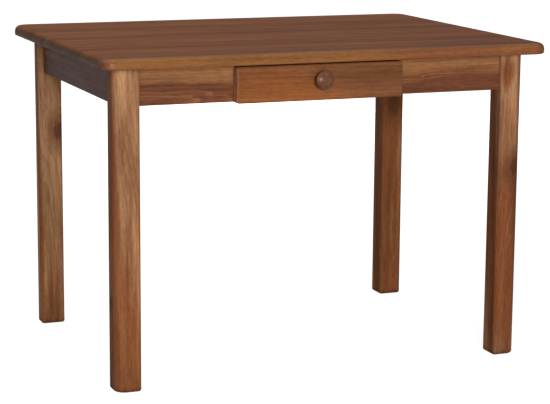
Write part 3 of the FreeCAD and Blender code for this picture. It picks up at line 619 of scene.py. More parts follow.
def make_wood_finish():
    """Colour, roughness and relief of finished wood."""
    group, source, result = new_group(
        "wood_finish",
        {"Place": ORIGIN, "Seed": 0.0, "Late Wood": 0.0, "Heart": 0.0, "Streak": 0.5, "Fibre": 0.5,
         "Core": 0.0, "Halo": 0.0, "Rubbed": 0.0, "Joint": 0.0, "End": 0.0,
         "Sap Colour": rgb(0.3, 0.14, 0.06), "Heart Colour": rgb(0.18, 0.065, 0.03),
         "Line Colour": rgb(0.15, 0.06, 0.03), "Knot Colour": rgb(0.055, 0.017, 0.010),
         "Rubbed Colour": rgb(0.4, 0.22, 0.1), "Line Strength": 0.5, "Blotch": 0.5,
         "End Tint": rgb(0.7, 0.7, 0.7), "Gloss Roughness": 0.42},
        ("Colour", "Roughness", "Relief"))
    place, seed, blotch = source["Place"], source["Seed"], source["Blotch"]
    colour = blend(group, source["Heart"], source["Sap Colour"], source["Heart Colour"])
    lines = times(group, source["Late Wood"], source["Line Strength"])
    colour = blend(group, lines, colour, source["Line Colour"])
    cloud = noise(group, place, seed, (2.2, 14, 14), shift=1.7, roughness=0.6)
    redder = times(group, ramp(group, cloud, *REDDER_CLOUDS), blotch)
    colour = blend(group, redder, colour, source["Heart Colour"])
    shade = plus(group, 1.0, times(group, ramp(group, cloud, *CLOUD_SHADES), blotch))
    values = {"band": noise(group, place, seed, (1.6, 38, 38), shift=4.6, roughness=0.6),
              "streak": source["Streak"],
              "mottle": noise(group, place, seed, (55, 210, 210), shift=6.2, roughness=0.65),
              "fibre": source["Fibre"]}
    for name, ends in SHADES.items():
        shade = times(group, shade, ramp(group, values[name], *ends))
    grey = add(group, "ShaderNodeCombineColor", {"Red": shade, "Green": shade, "Blue": shade}).outputs[0]
    colour = blend(group, 1.0, colour, grey, "MULTIPLY")
    tinted = blend(group, 1.0, colour, source["End Tint"], "MULTIPLY")
    colour = blend(group, source["End"], colour, tinted)
    for mask, share, target in STAINS_AND_PAINTED_LIGHT:
        colour = blend(group, times(group, source[mask], share), colour, source[target])
    feed(group, result["Colour"], colour)
    smears = noise(group, place, seed, (9, 30, 30), shift=9.4, detail=4.0, roughness=0.65)
    rough = plus(group, source["Gloss Roughness"], ramp(group, smears, *SMEAR_ROUGHNESS),
                 weighted(group, source, ROUGH_SHARES))
    feed(group, result["Roughness"], rough)
    feed(group, result["Relief"], weighted(group, source, RELIEF_SHARES))
    return group


WOOD_FINISH = make_wood_finish()
print("group", WOOD_FINISH.name, "with", len(WOOD_FINISH.nodes), "nodes")

# %% [markdown]
# A sawyer chooses how a piece lies in the log, and that decides its figure. The grain could be turned
# in a UV map, but solid wood needs no unwrapping, only a place. The Mapping node gives it: its rotation
# brings the grain to X and its location moves the log's middle. A little extra tilt makes the heartwood
# run out of a board towards one end.

# %% How a piece lay in its log
GRAIN_TURNS = {"X": (0.0, 0.0, 0.0), "Y": (0.0, 0.0, -math.pi / 2), "Z": (0.0, math.pi / 2, 0.0)}
GRAIN_AXES = {"X": (1, 0, 0), "Y": (0, 1, 0), "Z": (0, 0, 1)}


class Log:
    """How a piece lay in its log: the grain's axis, a point of the pith, and a tilt of the log."""

    def __init__(self, grain, pith, tilt=(0.0, 0.0, 0.0)):
        self.grain = grain
        self.pith = Vector(pith)
        self.turn = [a + b for a, b in zip(GRAIN_TURNS[grain], tilt)]

    def direction(self, axis):
        """A direction of the table in the log."""
        turned = Vector(axis)
        for angle, name in zip(self.turn, "XYZ"):
            turned = Matrix.Rotation(angle, 3, name) @ turned
        return turned

    def point(self, place):
        """A point of the table in the log."""
        return self.direction(Vector(place) - self.pith)

    def mapping(self, tree):
        """The Mapping node's output: the shaded place in the log."""
        inputs = {"Vector": object_place(tree), "Location": self.point(ORIGIN), "Rotation": self.turn}
        return add(tree, "ShaderNodeMapping", inputs).outputs[0]


print("wood can be sawn along", sorted(GRAIN_TURNS))

# %% [markdown]
# Each piece gets its own material from one function, because no two boards look alike. What pieces of
# the same wood share, its colours, its growth and its lacquer, is kept together in one object. The
# lacquer is the shader's clear coat, and the stained wood below it hardly shines by itself.

# %% Kinds of wood
STAINED_SPECULAR = 0.10


class Wood:
    """The colours and the growth of one kind of wood."""

    def __init__(self, sap, heart, line, heart_radius=0.05, heart_blur=0.004, ring_width=0.004,
                 wander=0.006, ripple=0.004, lines=0.5, blotch=0.6, end_tint=(0.7, 0.7, 0.7),
                 rubbed=(0.42, 0.22, 0.10), roughness=0.42, specular=STAINED_SPECULAR, lacquer=0.0):
        self.growth = {"heart_radius": heart_radius, "heart_blur": heart_blur, "ring_width": ring_width,
                       "wander": wander, "ripple": ripple}
        self.finish = {"sap_colour": rgb(*sap), "heart_colour": rgb(*heart), "line_colour": rgb(*line),
                       "rubbed_colour": rgb(*rubbed), "line_strength": lines, "blotch": blotch,
                       "end_tint": rgb(*end_tint), "gloss_roughness": roughness}
        self.specular = specular
        self.lacquer = lacquer


print("a wood's default specular level is", STAINED_SPECULAR)

# %% Knots, patches and darker feet
PATCH_SEED_STEP = 0.7
FOOT_DARK_HEIGHTS = (0.3, 0.7, 0.4, 1.6)


def all_knots(tree, place, log, knots, seed):
    """Masks of a list of knots, each a (point, axis, size), joined together."""
    core, halo, push = 0.0, 0.0, 0.0
    for number, (point, axis, size) in enumerate(knots):
        found = use(tree, KNOT, place=place, middle=log.point(point), axis=log.direction(axis),
                    size=size, seed=seed + number)
        core = calc(tree, "MAXIMUM", core, found["Core"])
        halo = calc(tree, "MAXIMUM", halo, found["Halo"])
        push = plus(tree, push, found["Push"])
    return core, halo, push


def with_patches(tree, heart, place, log, patches, seed):
    """The heartwood with a list of patches, each a (point, half length, half width); a few are painted
    shade.
    """
    for number, (point, half_length, half_width) in enumerate(patches):
        patch = use(tree, HEART_AND_SHADE_PATCH, place=place, middle=log.point(point),
                    seed=seed + PATCH_SEED_STEP * number, half_size=(half_length, half_width, half_width))
        heart = calc(tree, "MAXIMUM", heart, patch["Mask"])
    return heart


def foot_darkening(tree, place, seed, usual_height):
    """A mask that darkens a foot from the floor up to an uneven height."""
    height = add(tree, "ShaderNodeSeparateXYZ", {0: object_place(tree)}).outputs["Z"]
    patchy = noise(tree, place, seed, (40, 90, 90))
    top = times(tree, ramp(tree, patchy, *FOOT_DARK_HEIGHTS), usual_height)
    return ramp(tree, height, top, 0.0)


print("marks come from the groups", KNOT.name, "and", HEART_AND_SHADE_PATCH.name)

# %% The material of one wooden piece
LACQUER_ROUGHNESS = 0.25
RELIEF_DEPTH = 0.0004
WOOD_RELIEF = 0.5
EDGE_REACH = 0.003
JOINT_REACH = 0.010


def shader_material(name):
    """A material with a Principled shader; returns the material, its tree and the shader."""
    material, tree = empty_material(name)
    shader = add(tree, "ShaderNodeBsdfPrincipled")
    add(tree, "ShaderNodeOutputMaterial", {"Surface": shader.outputs[0]})
    return material, tree, shader


def surface(tree, shader, colour, rough, height, strength, depth=RELIEF_DEPTH):
    """Feeds a colour, a roughness and a relief to the shader."""
    bump = add(tree, "ShaderNodeBump", {"Strength": strength, "Distance": depth, "Height": height})
    for name, value in (("Base Color", colour), ("Roughness", rough), ("Normal", bump.outputs[0])):
        feed(tree, shader.inputs[name], value)


def wooden(name, wood, log, seed, knots=(), patches=(), dark_foot=0.0):
    """The material of one wooden piece; a leg's foot gets darker up to a height."""
    material, tree, shader = shader_material(name)
    place = log.mapping(tree)
    core, halo, push = all_knots(tree, place, log, knots, seed)
    grain = use(tree, PINE_GRAIN, place=place, seed=seed, push=push, **wood.growth)
    heart = with_patches(tree, grain["Heart"], place, log, patches, seed)
    # A foot is darkened towards the floor with the knot's dark colour.
    if dark_foot:
        core = calc(tree, "MAXIMUM", core, foot_darkening(tree, place, seed, dark_foot))
    rubbed = use(tree, RUBBED_EDGES, place=place, reach=EDGE_REACH, seed=seed)["Mask"]
    joint = use(tree, JOINT_DUST_AND_SHADE, reach=JOINT_REACH)["Mask"]
    end = use(tree, END_GRAIN, along=GRAIN_AXES[log.grain])["Mask"]
    finish = use(tree, WOOD_FINISH, place=place, seed=seed, late_wood=grain["Late Wood"],
                 heart=heart, streak=grain["Streak"], fibre=grain["Fibre"], core=core, halo=halo,
                 rubbed=rubbed, joint=joint, end=end, **wood.finish)
    surface(tree, shader, finish["Colour"], finish["Roughness"], finish["Relief"], WOOD_RELIEF)
    shader.inputs["Specular IOR Level"].default_value = wood.specular
    shader.inputs["Coat Weight"].default_value = wood.lacquer
    shader.inputs["Coat Roughness"].default_value = LACQUER_ROUGHNESS
    return material


def dress(name, material):
    """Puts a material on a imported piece."""
    for slot in nodes[name].material_slots:
        slot.material = material


def middle_of(name):
    """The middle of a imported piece's box."""
    low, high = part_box(name)
    return (Vector(low) + Vector(high)) / 2


print("lacquer has a roughness of", LACQUER_ROUGHNESS)

# %% [markdown]
# The top is seven boards glued edge to edge, turned over one by one so that the top stays flat: the
# pith lies below one board and above the next. The board at the front keeps a strip of pale sapwood
# along its edge, which shows as a golden nosing, with two redder places towards its right end.

# %% The top's boards
# The bluish end tints darken the boards' end grain and lay a painted sheen of reflected light on it.
TOP_WOOD = Wood(sap=(0.30, 0.109, 0.041), heart=(0.240, 0.081, 0.031), line=(0.16, 0.053, 0.023),
                heart_radius=0.050, ring_width=0.0036, wander=0.007, lines=0.45,
                end_tint=(0.52, 0.74, 1.05), specular=0.06, lacquer=0.15)
EDGE_WOOD = Wood(sap=(0.285, 0.121, 0.038), heart=(0.238, 0.084, 0.033), line=(0.18, 0.070, 0.027),
                 heart_radius=0.070, heart_blur=0.006, ring_width=0.0040, wander=0.003, lines=0.45,
                 blotch=0.3, end_tint=(0.62, 0.78, 1.00), rubbed=(0.40, 0.20, 0.08), specular=0.06,
                 lacquer=0.25)
EDGE_PATCHES = [((0.28, -0.41, 0.740), 0.20, 0.034), ((0.50, -0.41, 0.740), 0.10, 0.018)]
EDGE_PITH = Vector((0, 0.014, -0.030))
BOARDS = 7
PITH_STEP = 0.018
PITH_DEPTH = 0.055
for i in range(BOARDS):
    name = f"top_board_{i + 1}"
    pith = Vector((0, PITH_STEP * ((i * 3) % 5 - 2), PITH_DEPTH if i % 2 else -PITH_DEPTH))
    wood, patches = TOP_WOOD, ()
    if i == 0:
        wood, patches, pith = EDGE_WOOD, EDGE_PATCHES, EDGE_PITH
    log = Log("X", middle_of(name) + pith)
    dress(name, wooden(name, wood, log, seed=2.0 + 1.37 * i, patches=patches))
print("stained", BOARDS, "boards of the top")

# %% [markdown]
# The legs are sawn square from the outer part of the log, so the rings run as near-straight lines up
# each face. A tilt of the log brings heartwood out on part of a leg. Each leg also has a knot and some
# patches of heartwood in places of its own, and a foot that gets darker towards the floor. On three of
# the legs a few narrow patches are painted shade, along edges and corners that turn away from the lamps.

# %% The legs
LEG_GROWTH = {"line": (0.25, 0.105, 0.050), "heart_radius": 0.045, "ring_width": 0.0032,
              "wander": 0.007, "blotch": 1.1, "specular": 0.04}
LEG_WOOD = Wood(sap=(0.490, 0.268, 0.140), heart=(0.232, 0.081, 0.030), **LEG_GROWTH)
RED_LEG_WOOD = Wood(sap=(0.45, 0.240, 0.128), heart=(0.185, 0.060, 0.023), **LEG_GROWTH)
LEG_TILT = (0.03, 0, 0)
LEG_PITH_ASIDE = 0.02
LEG_PITH_BEHIND = 0.055
LEG_PITH_HEIGHT = 0.3
FOOT_DARK_HEIGHT = 0.014
# A leg's knots are (point, axis, size), and its patches are (point, half length, half width).
LEG_MARKS = {
    # Front left leg: heartwood low down; the patches on the left corner and the right edge are painted
    # shade.
    "front_left_leg": ([((-0.445, -0.315, 0.20), (1, 0, 0), 0.009)],
                       [((-0.475, -0.36, 0.02), 0.42, 0.06), ((-0.510, -0.34, 0.37), 0.70, 0.030),
                        ((-0.437, -0.36, 0.40), 0.60, 0.022)]),
    # Front right leg: a painted shadow under the top at its top left, painted shade on its upper right
    # corner.
    "front_right_leg": ([((0.487, -0.360, 0.462), (0, 1, 0), 0.014)],
                        [((0.470, -0.36, 0.24), 0.36, 0.07), ((0.461, -0.36, 0.69), 0.05, 0.018),
                         ((0.430, -0.33, 0.37), 0.70, 0.045), ((0.490, -0.36, 0.40), 0.06, 0.030),
                         ((0.512, -0.35, 0.60), 0.25, 0.025)]),
    # Back left leg: the narrow second patch is painted shade along the left edge.
    "back_left_leg": ([((-0.455, 0.300, 0.498), (0, 1, 0), 0.015)],
                      [((-0.480, 0.27, -0.02), 0.24, 0.05), ((-0.505, 0.31, 0.37), 0.60, 0.014),
                       ((-0.475, 0.24, 0.15), 0.40, 0.060)]),
    "back_right_leg": ([((0.475, 0.300, 0.525), (0, 1, 0), 0.023)],
                       [((0.468, 0.33, 0.40), 0.60, 0.072), ((0.480, 0.30, 0.06), 0.24, 0.06)]),
}
for i, (name, (knots, patches)) in enumerate(LEG_MARKS.items()):
    middle = middle_of(name)
    aside = LEG_PITH_ASIDE if i % 2 else -LEG_PITH_ASIDE
    log = Log("Z", (middle.x + aside, middle.y + LEG_PITH_BEHIND, LEG_PITH_HEIGHT), LEG_TILT)
    wood = RED_LEG_WOOD if name == "front_right_leg" else LEG_WOOD
    dress(name, wooden(name, wood, log, seed=20.0 + 2.1 * i, knots=knots, patches=patches, dark_foot=FOOT_DARK_HEIGHT))
print("stained", len(LEG_MARKS), "legs")

# %% [markdown]
# The aprons are flat-sawn boards: the face lies close to the pith, so the rings show as arches and the
# reddish heartwood as a broad band along the lower half. The left one gets darker, plainer colours:
# painted shade on the end that the key lamp barely reaches.

# %% The aprons
APRON_WOOD = Wood(sap=(0.315, 0.145, 0.058), heart=(0.157, 0.055, 0.027), line=(0.265, 0.108, 0.046),
                  heart_radius=0.071, heart_blur=0.003, ring_width=0.0042, wander=0.010, ripple=0.016,
                  lines=0.85, blotch=0.4, lacquer=0.05)
# Darker, plainer colours for the left apron: painted shade.
LEFT_APRON_PAINTED_SHADE = Wood(sap=(0.20, 0.088, 0.044), heart=(0.14, 0.050, 0.028), line=(0.16, 0.066, 0.034),
                  heart_radius=0.071, ring_width=0.0042, wander=0.010, ripple=0.016, lines=0.4,
                  blotch=0.4, lacquer=0.15)
APRON_PITH_DEPTH = 0.051
APRON_PITH_DROP = 0.030
APRON_TILT = (0, 0, -0.014)
INWARD = {"front_apron": (0, 1), "back_apron": (0, -1), "left_apron": (1, 0), "right_apron": (-1, 0)}
FRONT_PATCHES = [((-0.35, -0.346, 0.657), 0.17, 0.031), ((0.33, -0.346, 0.684), 0.18, 0.022)]
APRON_KNOTS = {
    "front_apron": [],
    "back_apron": [((-0.21, 0.34, 0.700), (0, 1, 0), 0.010)],
    "left_apron": [((-0.47, 0.12, 0.690), (0, 0, 1), 0.006)],
    "right_apron": [((0.49, -0.08, 0.680), (1, 0, 0), 0.010)],
}
for i, (name, (in_x, in_y)) in enumerate(INWARD.items()):
    pith = Vector((in_x * APRON_PITH_DEPTH, in_y * APRON_PITH_DEPTH, -APRON_PITH_DROP))
    log = Log("Y" if in_x else "X", middle_of(name) + pith, APRON_TILT)
    patches = FRONT_PATCHES if name == "front_apron" else ()
    wood = LEFT_APRON_PAINTED_SHADE if name == "left_apron" else APRON_WOOD
    dress(name, wooden(name, wood, log, seed=40.0 + 1.9 * i, knots=APRON_KNOTS[name], patches=patches))
print("stained", len(INWARD), "aprons")

# %% [markdown]
# The drawer front was chosen from a more orange board, and its knob was turned from darker wood with
# the grain along its axis, so the face of the knob shows end grain.

# %% The drawer front and its knob
# End tint: painted light and sheen on the left end; pale rubbed colour: partly a painted highlight.
DRAWER_WOOD = Wood(sap=(0.190, 0.074, 0.032), heart=(0.290, 0.096, 0.027), line=(0.17, 0.060, 0.023),
                   heart_radius=0.0, ring_width=0.0030, wander=0.004, lines=0.30,
                   end_tint=(1.6, 2.2, 3.2), rubbed=(0.50, 0.34, 0.20), lacquer=0.2)
DRAWER_PATCHES = [((-0.140, -0.374, 0.660), 0.18, 0.055)]
DRAWER_PITH = Vector((0, 0.045, -0.060))
DRAWER_TILT = (0, -0.015, 0)
KNOB_WOOD = Wood(sap=(0.23, 0.098, 0.051), heart=(0.18, 0.074, 0.040), line=(0.13, 0.052, 0.029),
                 ring_width=0.0030, lines=0.5, rubbed=(0.26, 0.14, 0.09), roughness=0.36, specular=0.10,
                 lacquer=0.6)
KNOB_PITH = Vector((-0.060, 0, -0.030))
front_log = Log("X", middle_of("drawer_front") + DRAWER_PITH, DRAWER_TILT)
dress("drawer_front", wooden("drawer_front", DRAWER_WOOD, front_log, seed=60.0, patches=DRAWER_PATCHES))
knob_log = Log("Y", middle_of("drawer_knob") + KNOB_PITH)
dress("drawer_knob", wooden("drawer_knob", KNOB_WOOD, knob_log, seed=70.0))
print("stained the drawer front and its knob")

# %% [markdown]
# The hidden wood was never stained: cleats, guides, ledges, the stop and the drawer's box are bare,
# planed pine, paler and duller than the outside. The dowels and pins are beech, which is even and
# fine, so its rings are nearly invisible.

# %% Bare wood
BARE_PINE = Wood(sap=(0.66, 0.43, 0.23), heart=(0.60, 0.35, 0.17), line=(0.46, 0.25, 0.11),
                 heart_radius=0.040, ring_width=0.0040, wander=0.006, lines=0.55, blotch=0.5,
                 rubbed=(0.66, 0.47, 0.27), roughness=0.62, specular=0.2)
BEECH = Wood(sap=(0.58, 0.40, 0.24), heart=(0.54, 0.35, 0.20), line=(0.45, 0.28, 0.15),
             ring_width=0.0012, ripple=0.001, lines=0.30, blotch=0.3, rubbed=(0.62, 0.45, 0.28),
             roughness=0.55, specular=0.25)
BARE_PIECES = {
    "left_cleat": "Y", "right_cleat": "Y", "back_cleat": "X", "front_left_cleat": "X",
    "front_right_cleat": "X", "left_drawer_guide": "Y", "right_drawer_guide": "Y",
    "left_drawer_ledge": "Y", "right_drawer_ledge": "Y", "drawer_stop": "X", "drawer_left_side": "Y",
    "drawer_right_side": "Y", "drawer_back": "X",
}
BARE_KNOTS = {
    "drawer_left_side": [((-0.202, 0.060, 0.700), (1, 0, 0), 0.006)],
    "drawer_right_side": [((0.160, -0.210, 0.690), (1, 0, 0), 0.007)],
    "left_drawer_guide": [((-0.22, 0.140, 0.690), (1, 0, 0), 0.008)],
    "back_cleat": [((0.120, 0.310, 0.720), (0, 1, 0), 0.006)],
}
BARE_PITH = Vector((0.030, 0.025, -0.035))
BARE_PITH_STEP = Vector((0, 0, -0.006))
BEECH_PIECES = {"apron_dowels": "X", "guide_dowels": "Y", "drawer_back_pins": "X",
                "drawer_bottom_pins": "Z"}
for i, (name, grain) in enumerate(BARE_PIECES.items()):
    log = Log(grain, middle_of(name) + BARE_PITH + BARE_PITH_STEP * (i % 3))
    dress(name, wooden(name, BARE_PINE, log, seed=80.0 + 1.3 * i, knots=BARE_KNOTS.get(name, ())))
for i, (name, grain) in enumerate(BEECH_PIECES.items()):
    dress(name, wooden(name, BEECH, Log(grain, middle_of(name)), seed=110.0 + 1.7 * i))
print("dressed", len(BARE_PIECES), "bare pieces and", len(BEECH_PIECES), "sets of dowels and pins")

# %% [markdown]
# The drawer's bottom is thin plywood. Its face ply is peeled from the log like paper from a roll, so
# the rings become wide, wandering contour lines, which are drawn here as the height lines of a noise.
# On the edges the plies show as stripes, the middle one crosswise and darker.

# %% Plywood
PLY_WOOD = Wood(sap=(0.66, 0.45, 0.27), heart=(0.59, 0.37, 0.20), line=(0.50, 0.30, 0.15), lines=0.6,
                blotch=0.4, rubbed=(0.64, 0.47, 0.28), roughness=0.60, specular=0.2)
PLIES = 3
PLY_LINES = 9.0
PLY_LATE_BEGINS = (0.35, 0.9)
PLY_LATE_ENDS = (1.0, 0.94)
PLY_JOINT_REACH = 0.008
PLY_RELIEF = 0.4
PLY_SEED = 130.0


def plywood(name):
    """Peeled plywood, with its plies on the edges."""
    material, tree, shader = shader_material(name)
    low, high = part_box(name)
    ply = (high[2] - low[2]) / PLIES
    place = object_place(tree)
    hills = noise(tree, place, PLY_SEED, (1.6, 6.5, 0.0), detail=1.5, roughness=0.5)
    season = calc(tree, "FRACT", times(tree, hills, PLY_LINES))
    late = times(tree, ramp(tree, season, *PLY_LATE_BEGINS), ramp(tree, season, *PLY_LATE_ENDS))
    height = add(tree, "ShaderNodeSeparateXYZ", {0: place}).outputs["Z"]
    off_middle = calc(tree, "ABSOLUTE", calc(tree, "SUBTRACT", height, (low[2] + high[2]) / 2))
    middle_ply = calc(tree, "LESS_THAN", off_middle, ply / 2)
    edge = calc(tree, "SUBTRACT", 1.0, use(tree, END_GRAIN, along=GRAIN_AXES["Z"])["Mask"])
    streak = noise(tree, place, PLY_SEED + 1, (3.0, 90, 90), detail=4.0, roughness=0.6)
    fibre = noise(tree, place, PLY_SEED + 2, (25, 900, 900), detail=2.0)
    joint = use(tree, JOINT_DUST_AND_SHADE, reach=PLY_JOINT_REACH)["Mask"]
    finish = use(tree, WOOD_FINISH, place=place, seed=PLY_SEED, late_wood=late, streak=streak,
                 fibre=fibre, joint=joint, end=times(tree, edge, middle_ply), **PLY_WOOD.finish)
    surface(tree, shader, finish["Colour"], finish["Roughness"], finish["Relief"], PLY_RELIEF)
    shader.inputs["Specular IOR Level"].default_value = PLY_WOOD.specular
    return material


dress("drawer_bottom", plywood("drawer_bottom"))
print("dressed the plywood bottom")

# %% [markdown]
# The steel is zinc plated. Fresh zinc is a bluish grey with faint yellowish clouds, it is scratched
# where tools touched it, and it is brighter on its edges. One plain grey would do from afar, but the
# brackets are looked at closely from below, so they get the same groups of edges and joints as the wood,
# which darken their corners with dirt and painted shade.

# %% Zinc-plated steel
ZINC = rgb(0.60, 0.61, 0.63)
ZINC_CLOUD = rgb(0.53, 0.51, 0.45)
ZINC_BRIGHT = rgb(0.80, 0.80, 0.80)
ZINC_DIRT_AND_SHADE = rgb(0.10, 0.09, 0.08)
ZINC_METALLIC = 0.6
ZINC_SEED = 140.0
CLOUD_EDGE = (0.40, 0.70)
CLOUD_ROUGHNESS = (0.30, 0.75, 0.30, 0.42)
SCRATCH_ROUGHNESS = (0.45, 0.75, 0.0, 0.14)
BRIGHT_SHARE = 0.6
DIRT_AND_SHADE_SHARE = 0.7
BRIGHT_REACH = 0.0008
ZINC_CORNER_REACH = 0.003
SCRATCH_RELIEF = 0.25
SCRATCH_DEPTH = 0.0001


def zinc_steel():
    """Plated steel with clouds, scratches, bright edges, and grime with painted shade in its corners."""
    material, tree, shader = shader_material("zinc_steel")
    place = object_place(tree)
    cloud = noise(tree, place, ZINC_SEED, (70, 70, 70), detail=4.0, roughness=0.6)
    scratch = noise(tree, place, ZINC_SEED + 1, (300, 300, 2500), roughness=0.6)
    colour = blend(tree, ramp(tree, cloud, *CLOUD_EDGE), ZINC, ZINC_CLOUD)
    edge = use(tree, RUBBED_EDGES, place=place, reach=BRIGHT_REACH, seed=ZINC_SEED + 2)["Mask"]
    colour = blend(tree, times(tree, edge, BRIGHT_SHARE), colour, ZINC_BRIGHT)
    # Corners darkened by grime and painted shade.
    corner = use(tree, JOINT_DUST_AND_SHADE, reach=ZINC_CORNER_REACH)["Mask"]
    colour = blend(tree, times(tree, corner, DIRT_AND_SHADE_SHARE), colour, ZINC_DIRT_AND_SHADE)
    rough = plus(tree, ramp(tree, cloud, *CLOUD_ROUGHNESS), ramp(tree, scratch, *SCRATCH_ROUGHNESS))
    surface(tree, shader, colour, rough, scratch, SCRATCH_RELIEF, SCRATCH_DEPTH)
    shader.inputs["Metallic"].default_value = ZINC_METALLIC
    return material


ZINC_STEEL = zinc_steel()
PLAIN_STEEL = ["front_left_bracket", "front_right_bracket", "back_left_bracket", "back_right_bracket",
               "bracket_washers"]
for name in PLAIN_STEEL:
    dress(name, ZINC_STEEL)
print("plated", len(PLAIN_STEEL), "packed pieces")

# %% [markdown]
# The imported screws, bolts and nuts are smooth. They are modelled again with cross recesses, threads and
# chamfered corners, each in the place of the smooth one. Their places could be typed in, but measured on
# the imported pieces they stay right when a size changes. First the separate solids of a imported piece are
# found: points at the same place belong together, and so do the points of one face.

# %% Where the hardware sits
SAME_PLACE_DIGITS = 5


def islands(name):
    """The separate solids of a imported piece, each as a list of its points."""
    mesh = nodes[name].data
    keys = [tuple(round(c, SAME_PLACE_DIGITS) for c in vertex.co) for vertex in mesh.vertices]
    above = {key: key for key in keys}

    def root(key):
        while above[key] != key:
            key = above[key]
        return key

    for polygon in mesh.polygons:
        first = root(keys[polygon.vertices[0]])
        for index in polygon.vertices[1:]:
            above[root(keys[index])] = first
    solids = {}
    for key in sorted(above):
        solids.setdefault(root(key), []).append(Vector(key))
    return list(solids.values())


def box_of(points):
    """The middle and the size of the points' box."""
    low = Vector([min(p[i] for p in points) for i in range(3)])
    high = Vector([max(p[i] for p in points) for i in range(3)])
    return (low + high) / 2, high - low


def off_axis(point, middle, axis):
    """The way from an axis through the middle to a point."""
    away = point - middle
    return away - axis * away.dot(axis)


def aimed(origin, axis, side=None):
    """A matrix that puts local Z along the axis and, if a side is given, local X towards it."""
    turned = axis.to_track_quat("Z", "Y").to_matrix()
    if side is not None:
        turned = Matrix((side, axis.cross(side), axis)).transposed()
    return Matrix.Translation(origin) @ turned.to_4x4()


print({name: len(islands(name)) for name in ("bracket_screws", "top_screws", "hanger_bolts")})

# %% [markdown]
# Everything here is turned on a lathe or cut as a thread. Blender's Screw modifier can wind a profile
# round an axis, but heads, threads and nuts would each need their own settings. One builder is enough
# instead: it takes rings of points, all with the same number of points, and skins them. A profile that
# runs from the tip up the outside and over the head keeps all faces pointing outwards.

# %% Skinning rings
SHARP_ANGLE = math.radians(35)


class Turning:
    """Collects turned shapes into one mesh."""

    def __init__(self):
        self.places = []
        self.faces = []

    def skin(self, place, rings, open_ends=False):
        """Joins a list of rings; the first and last are closed unless the ends stay open."""
        start = len(self.places)
        sides = len(rings[0])
        for ring in rings:
            self.places += [place @ Vector(point) for point in ring]
        for level in range(len(rings) - 1):
            low = start + level * sides
            for i in range(sides):
                j = (i + 1) % sides
                self.faces.append((low + i, low + j, low + sides + j, low + sides + i))
        if not open_ends:
            last = start + (len(rings) - 1) * sides
            self.faces.append([start + i for i in reversed(range(sides))])
            self.faces.append([last + i for i in range(sides)])

    def finish(self, name, node, body):
        """The piece that stands for a packed one."""
        mesh = bpy.data.meshes.new(name)
        mesh.from_pydata(self.places, [], self.faces)
        mesh.polygons.foreach_set("use_smooth", [True] * len(mesh.polygons))
        mesh.set_sharp_from_angle(angle=SHARP_ANGLE)
        mesh.materials.append(ZINC_STEEL)
        piece = bpy.data.objects.new(name, mesh)
        scene.collection.objects.link(piece)
        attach(piece, body)
        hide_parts(node)
        print(name, "has", len(mesh.vertices), "points")


print("sharp edges from", round(math.degrees(SHARP_ANGLE)), "degrees")

# %% Threads
RINGS_PER_PITCH = 4
BLUNT_TIP = 0.06


def thread(low, high, outer, core, pitch, sides, point=0.0):
    """Rings of a threaded rod along Z, with a point of that length at its low end."""
    steps = math.ceil((high - low) / pitch * RINGS_PER_PITCH)
    rings = []
    for n in range(steps + 1):
        z = low + (high - low) * n / steps
        crest = min(1.0, (high - z) / pitch)
        narrow = min(1.0, BLUNT_TIP + (z - low) / point) if point else 1.0

        def radius(turn):
            wave = (z / pitch - turn / math.tau) % 1.0
            return narrow * (core + (outer - core) * crest * (1.0 - abs(2.0 * wave - 1.0)))

        rings.append(ring_at(even_turns(sides), radius, z))
    return rings


print("a thread has", RINGS_PER_PITCH, "rings of points in each pitch")

# %% [markdown]
# A cross recess is a plus sign sunk into the head. A Boolean could cut it, but would leave long, thin
# faces. Seen from the middle, its outline has one distance in each direction, so it can be a ring like
# any other, and the recess is only a few more rings inside the head. Pan heads hold the brackets and the
# knob; the wood screws are countersunk and flush.

# %% Heads with a cross recess
MM = 0.001
CROSS_LENGTH = 2.1 * MM
CROSS_HALF_WIDTH = 0.5 * MM
ARM_TURN = math.atan2(CROSS_HALF_WIDTH, CROSS_LENGTH)
BETWEEN_ARMS = (22, 33, 45, 57, 68)
HEAD_TURNS = []
for quarter in range(4):
    for step in (-ARM_TURN, 0.0, ARM_TURN, *[math.radians(degrees) for degrees in BETWEEN_ARMS]):
        HEAD_TURNS.append(quarter * math.pi / 2 + step)
PAN_PROFILE = [(1.8, 0.0), (3.95, 0.0), (4.0, 0.12), (4.0, 0.75), (3.85, 1.15), (3.45, 1.62), (2.9, 2.0),
               (2.35, 2.25)]
FLUSH_PROFILE = [(1.8, -2.1), (3.7, -0.3), (3.95, -0.10), (3.90, 0.0)]
RECESS_TAPER = 0.80
RECESS_WALL = 0.8 * MM
RECESS_DEPTH = 1.4 * MM
RECESS_TIP = 0.2 * MM


def cross_outline(turn):
    """The distance from the middle of a cross to its outline."""
    off = abs((turn + math.pi / 4) % (math.pi / 2) - math.pi / 4)
    return CROSS_LENGTH / math.cos(off) if off <= ARM_TURN else CROSS_HALF_WIDTH / math.sin(off)


def narrow_cross(turn):
    """The outline at the foot of the recess's wall."""
    return RECESS_TAPER * cross_outline(turn)


def head_rings(profile, crown):
    """Rings of a head with its recess."""
    rings = [ring_at(HEAD_TURNS, r * MM, z * MM) for r, z in profile]
    rings.append(ring_at(HEAD_TURNS, cross_outline, crown))
    rings.append(ring_at(HEAD_TURNS, narrow_cross, crown - RECESS_WALL))
    rings.append(ring_at(HEAD_TURNS, RECESS_TIP, crown - RECESS_DEPTH))
    return rings


print("a head has", len(HEAD_TURNS), "points in each ring")

# %% Screws
PAN_CROWN = 2.4 * MM
PAN_RIM = 3.0 * MM
HEAD_SLICE = 1.0 * MM
RIM_SLICE = 0.1 * MM
FLUSH_NECK = -2.0 * MM
SHANK = {"outer": 2.0 * MM, "core": 1.45 * MM, "pitch": 1.7 * MM, "sides": 12, "point": 5.0 * MM}


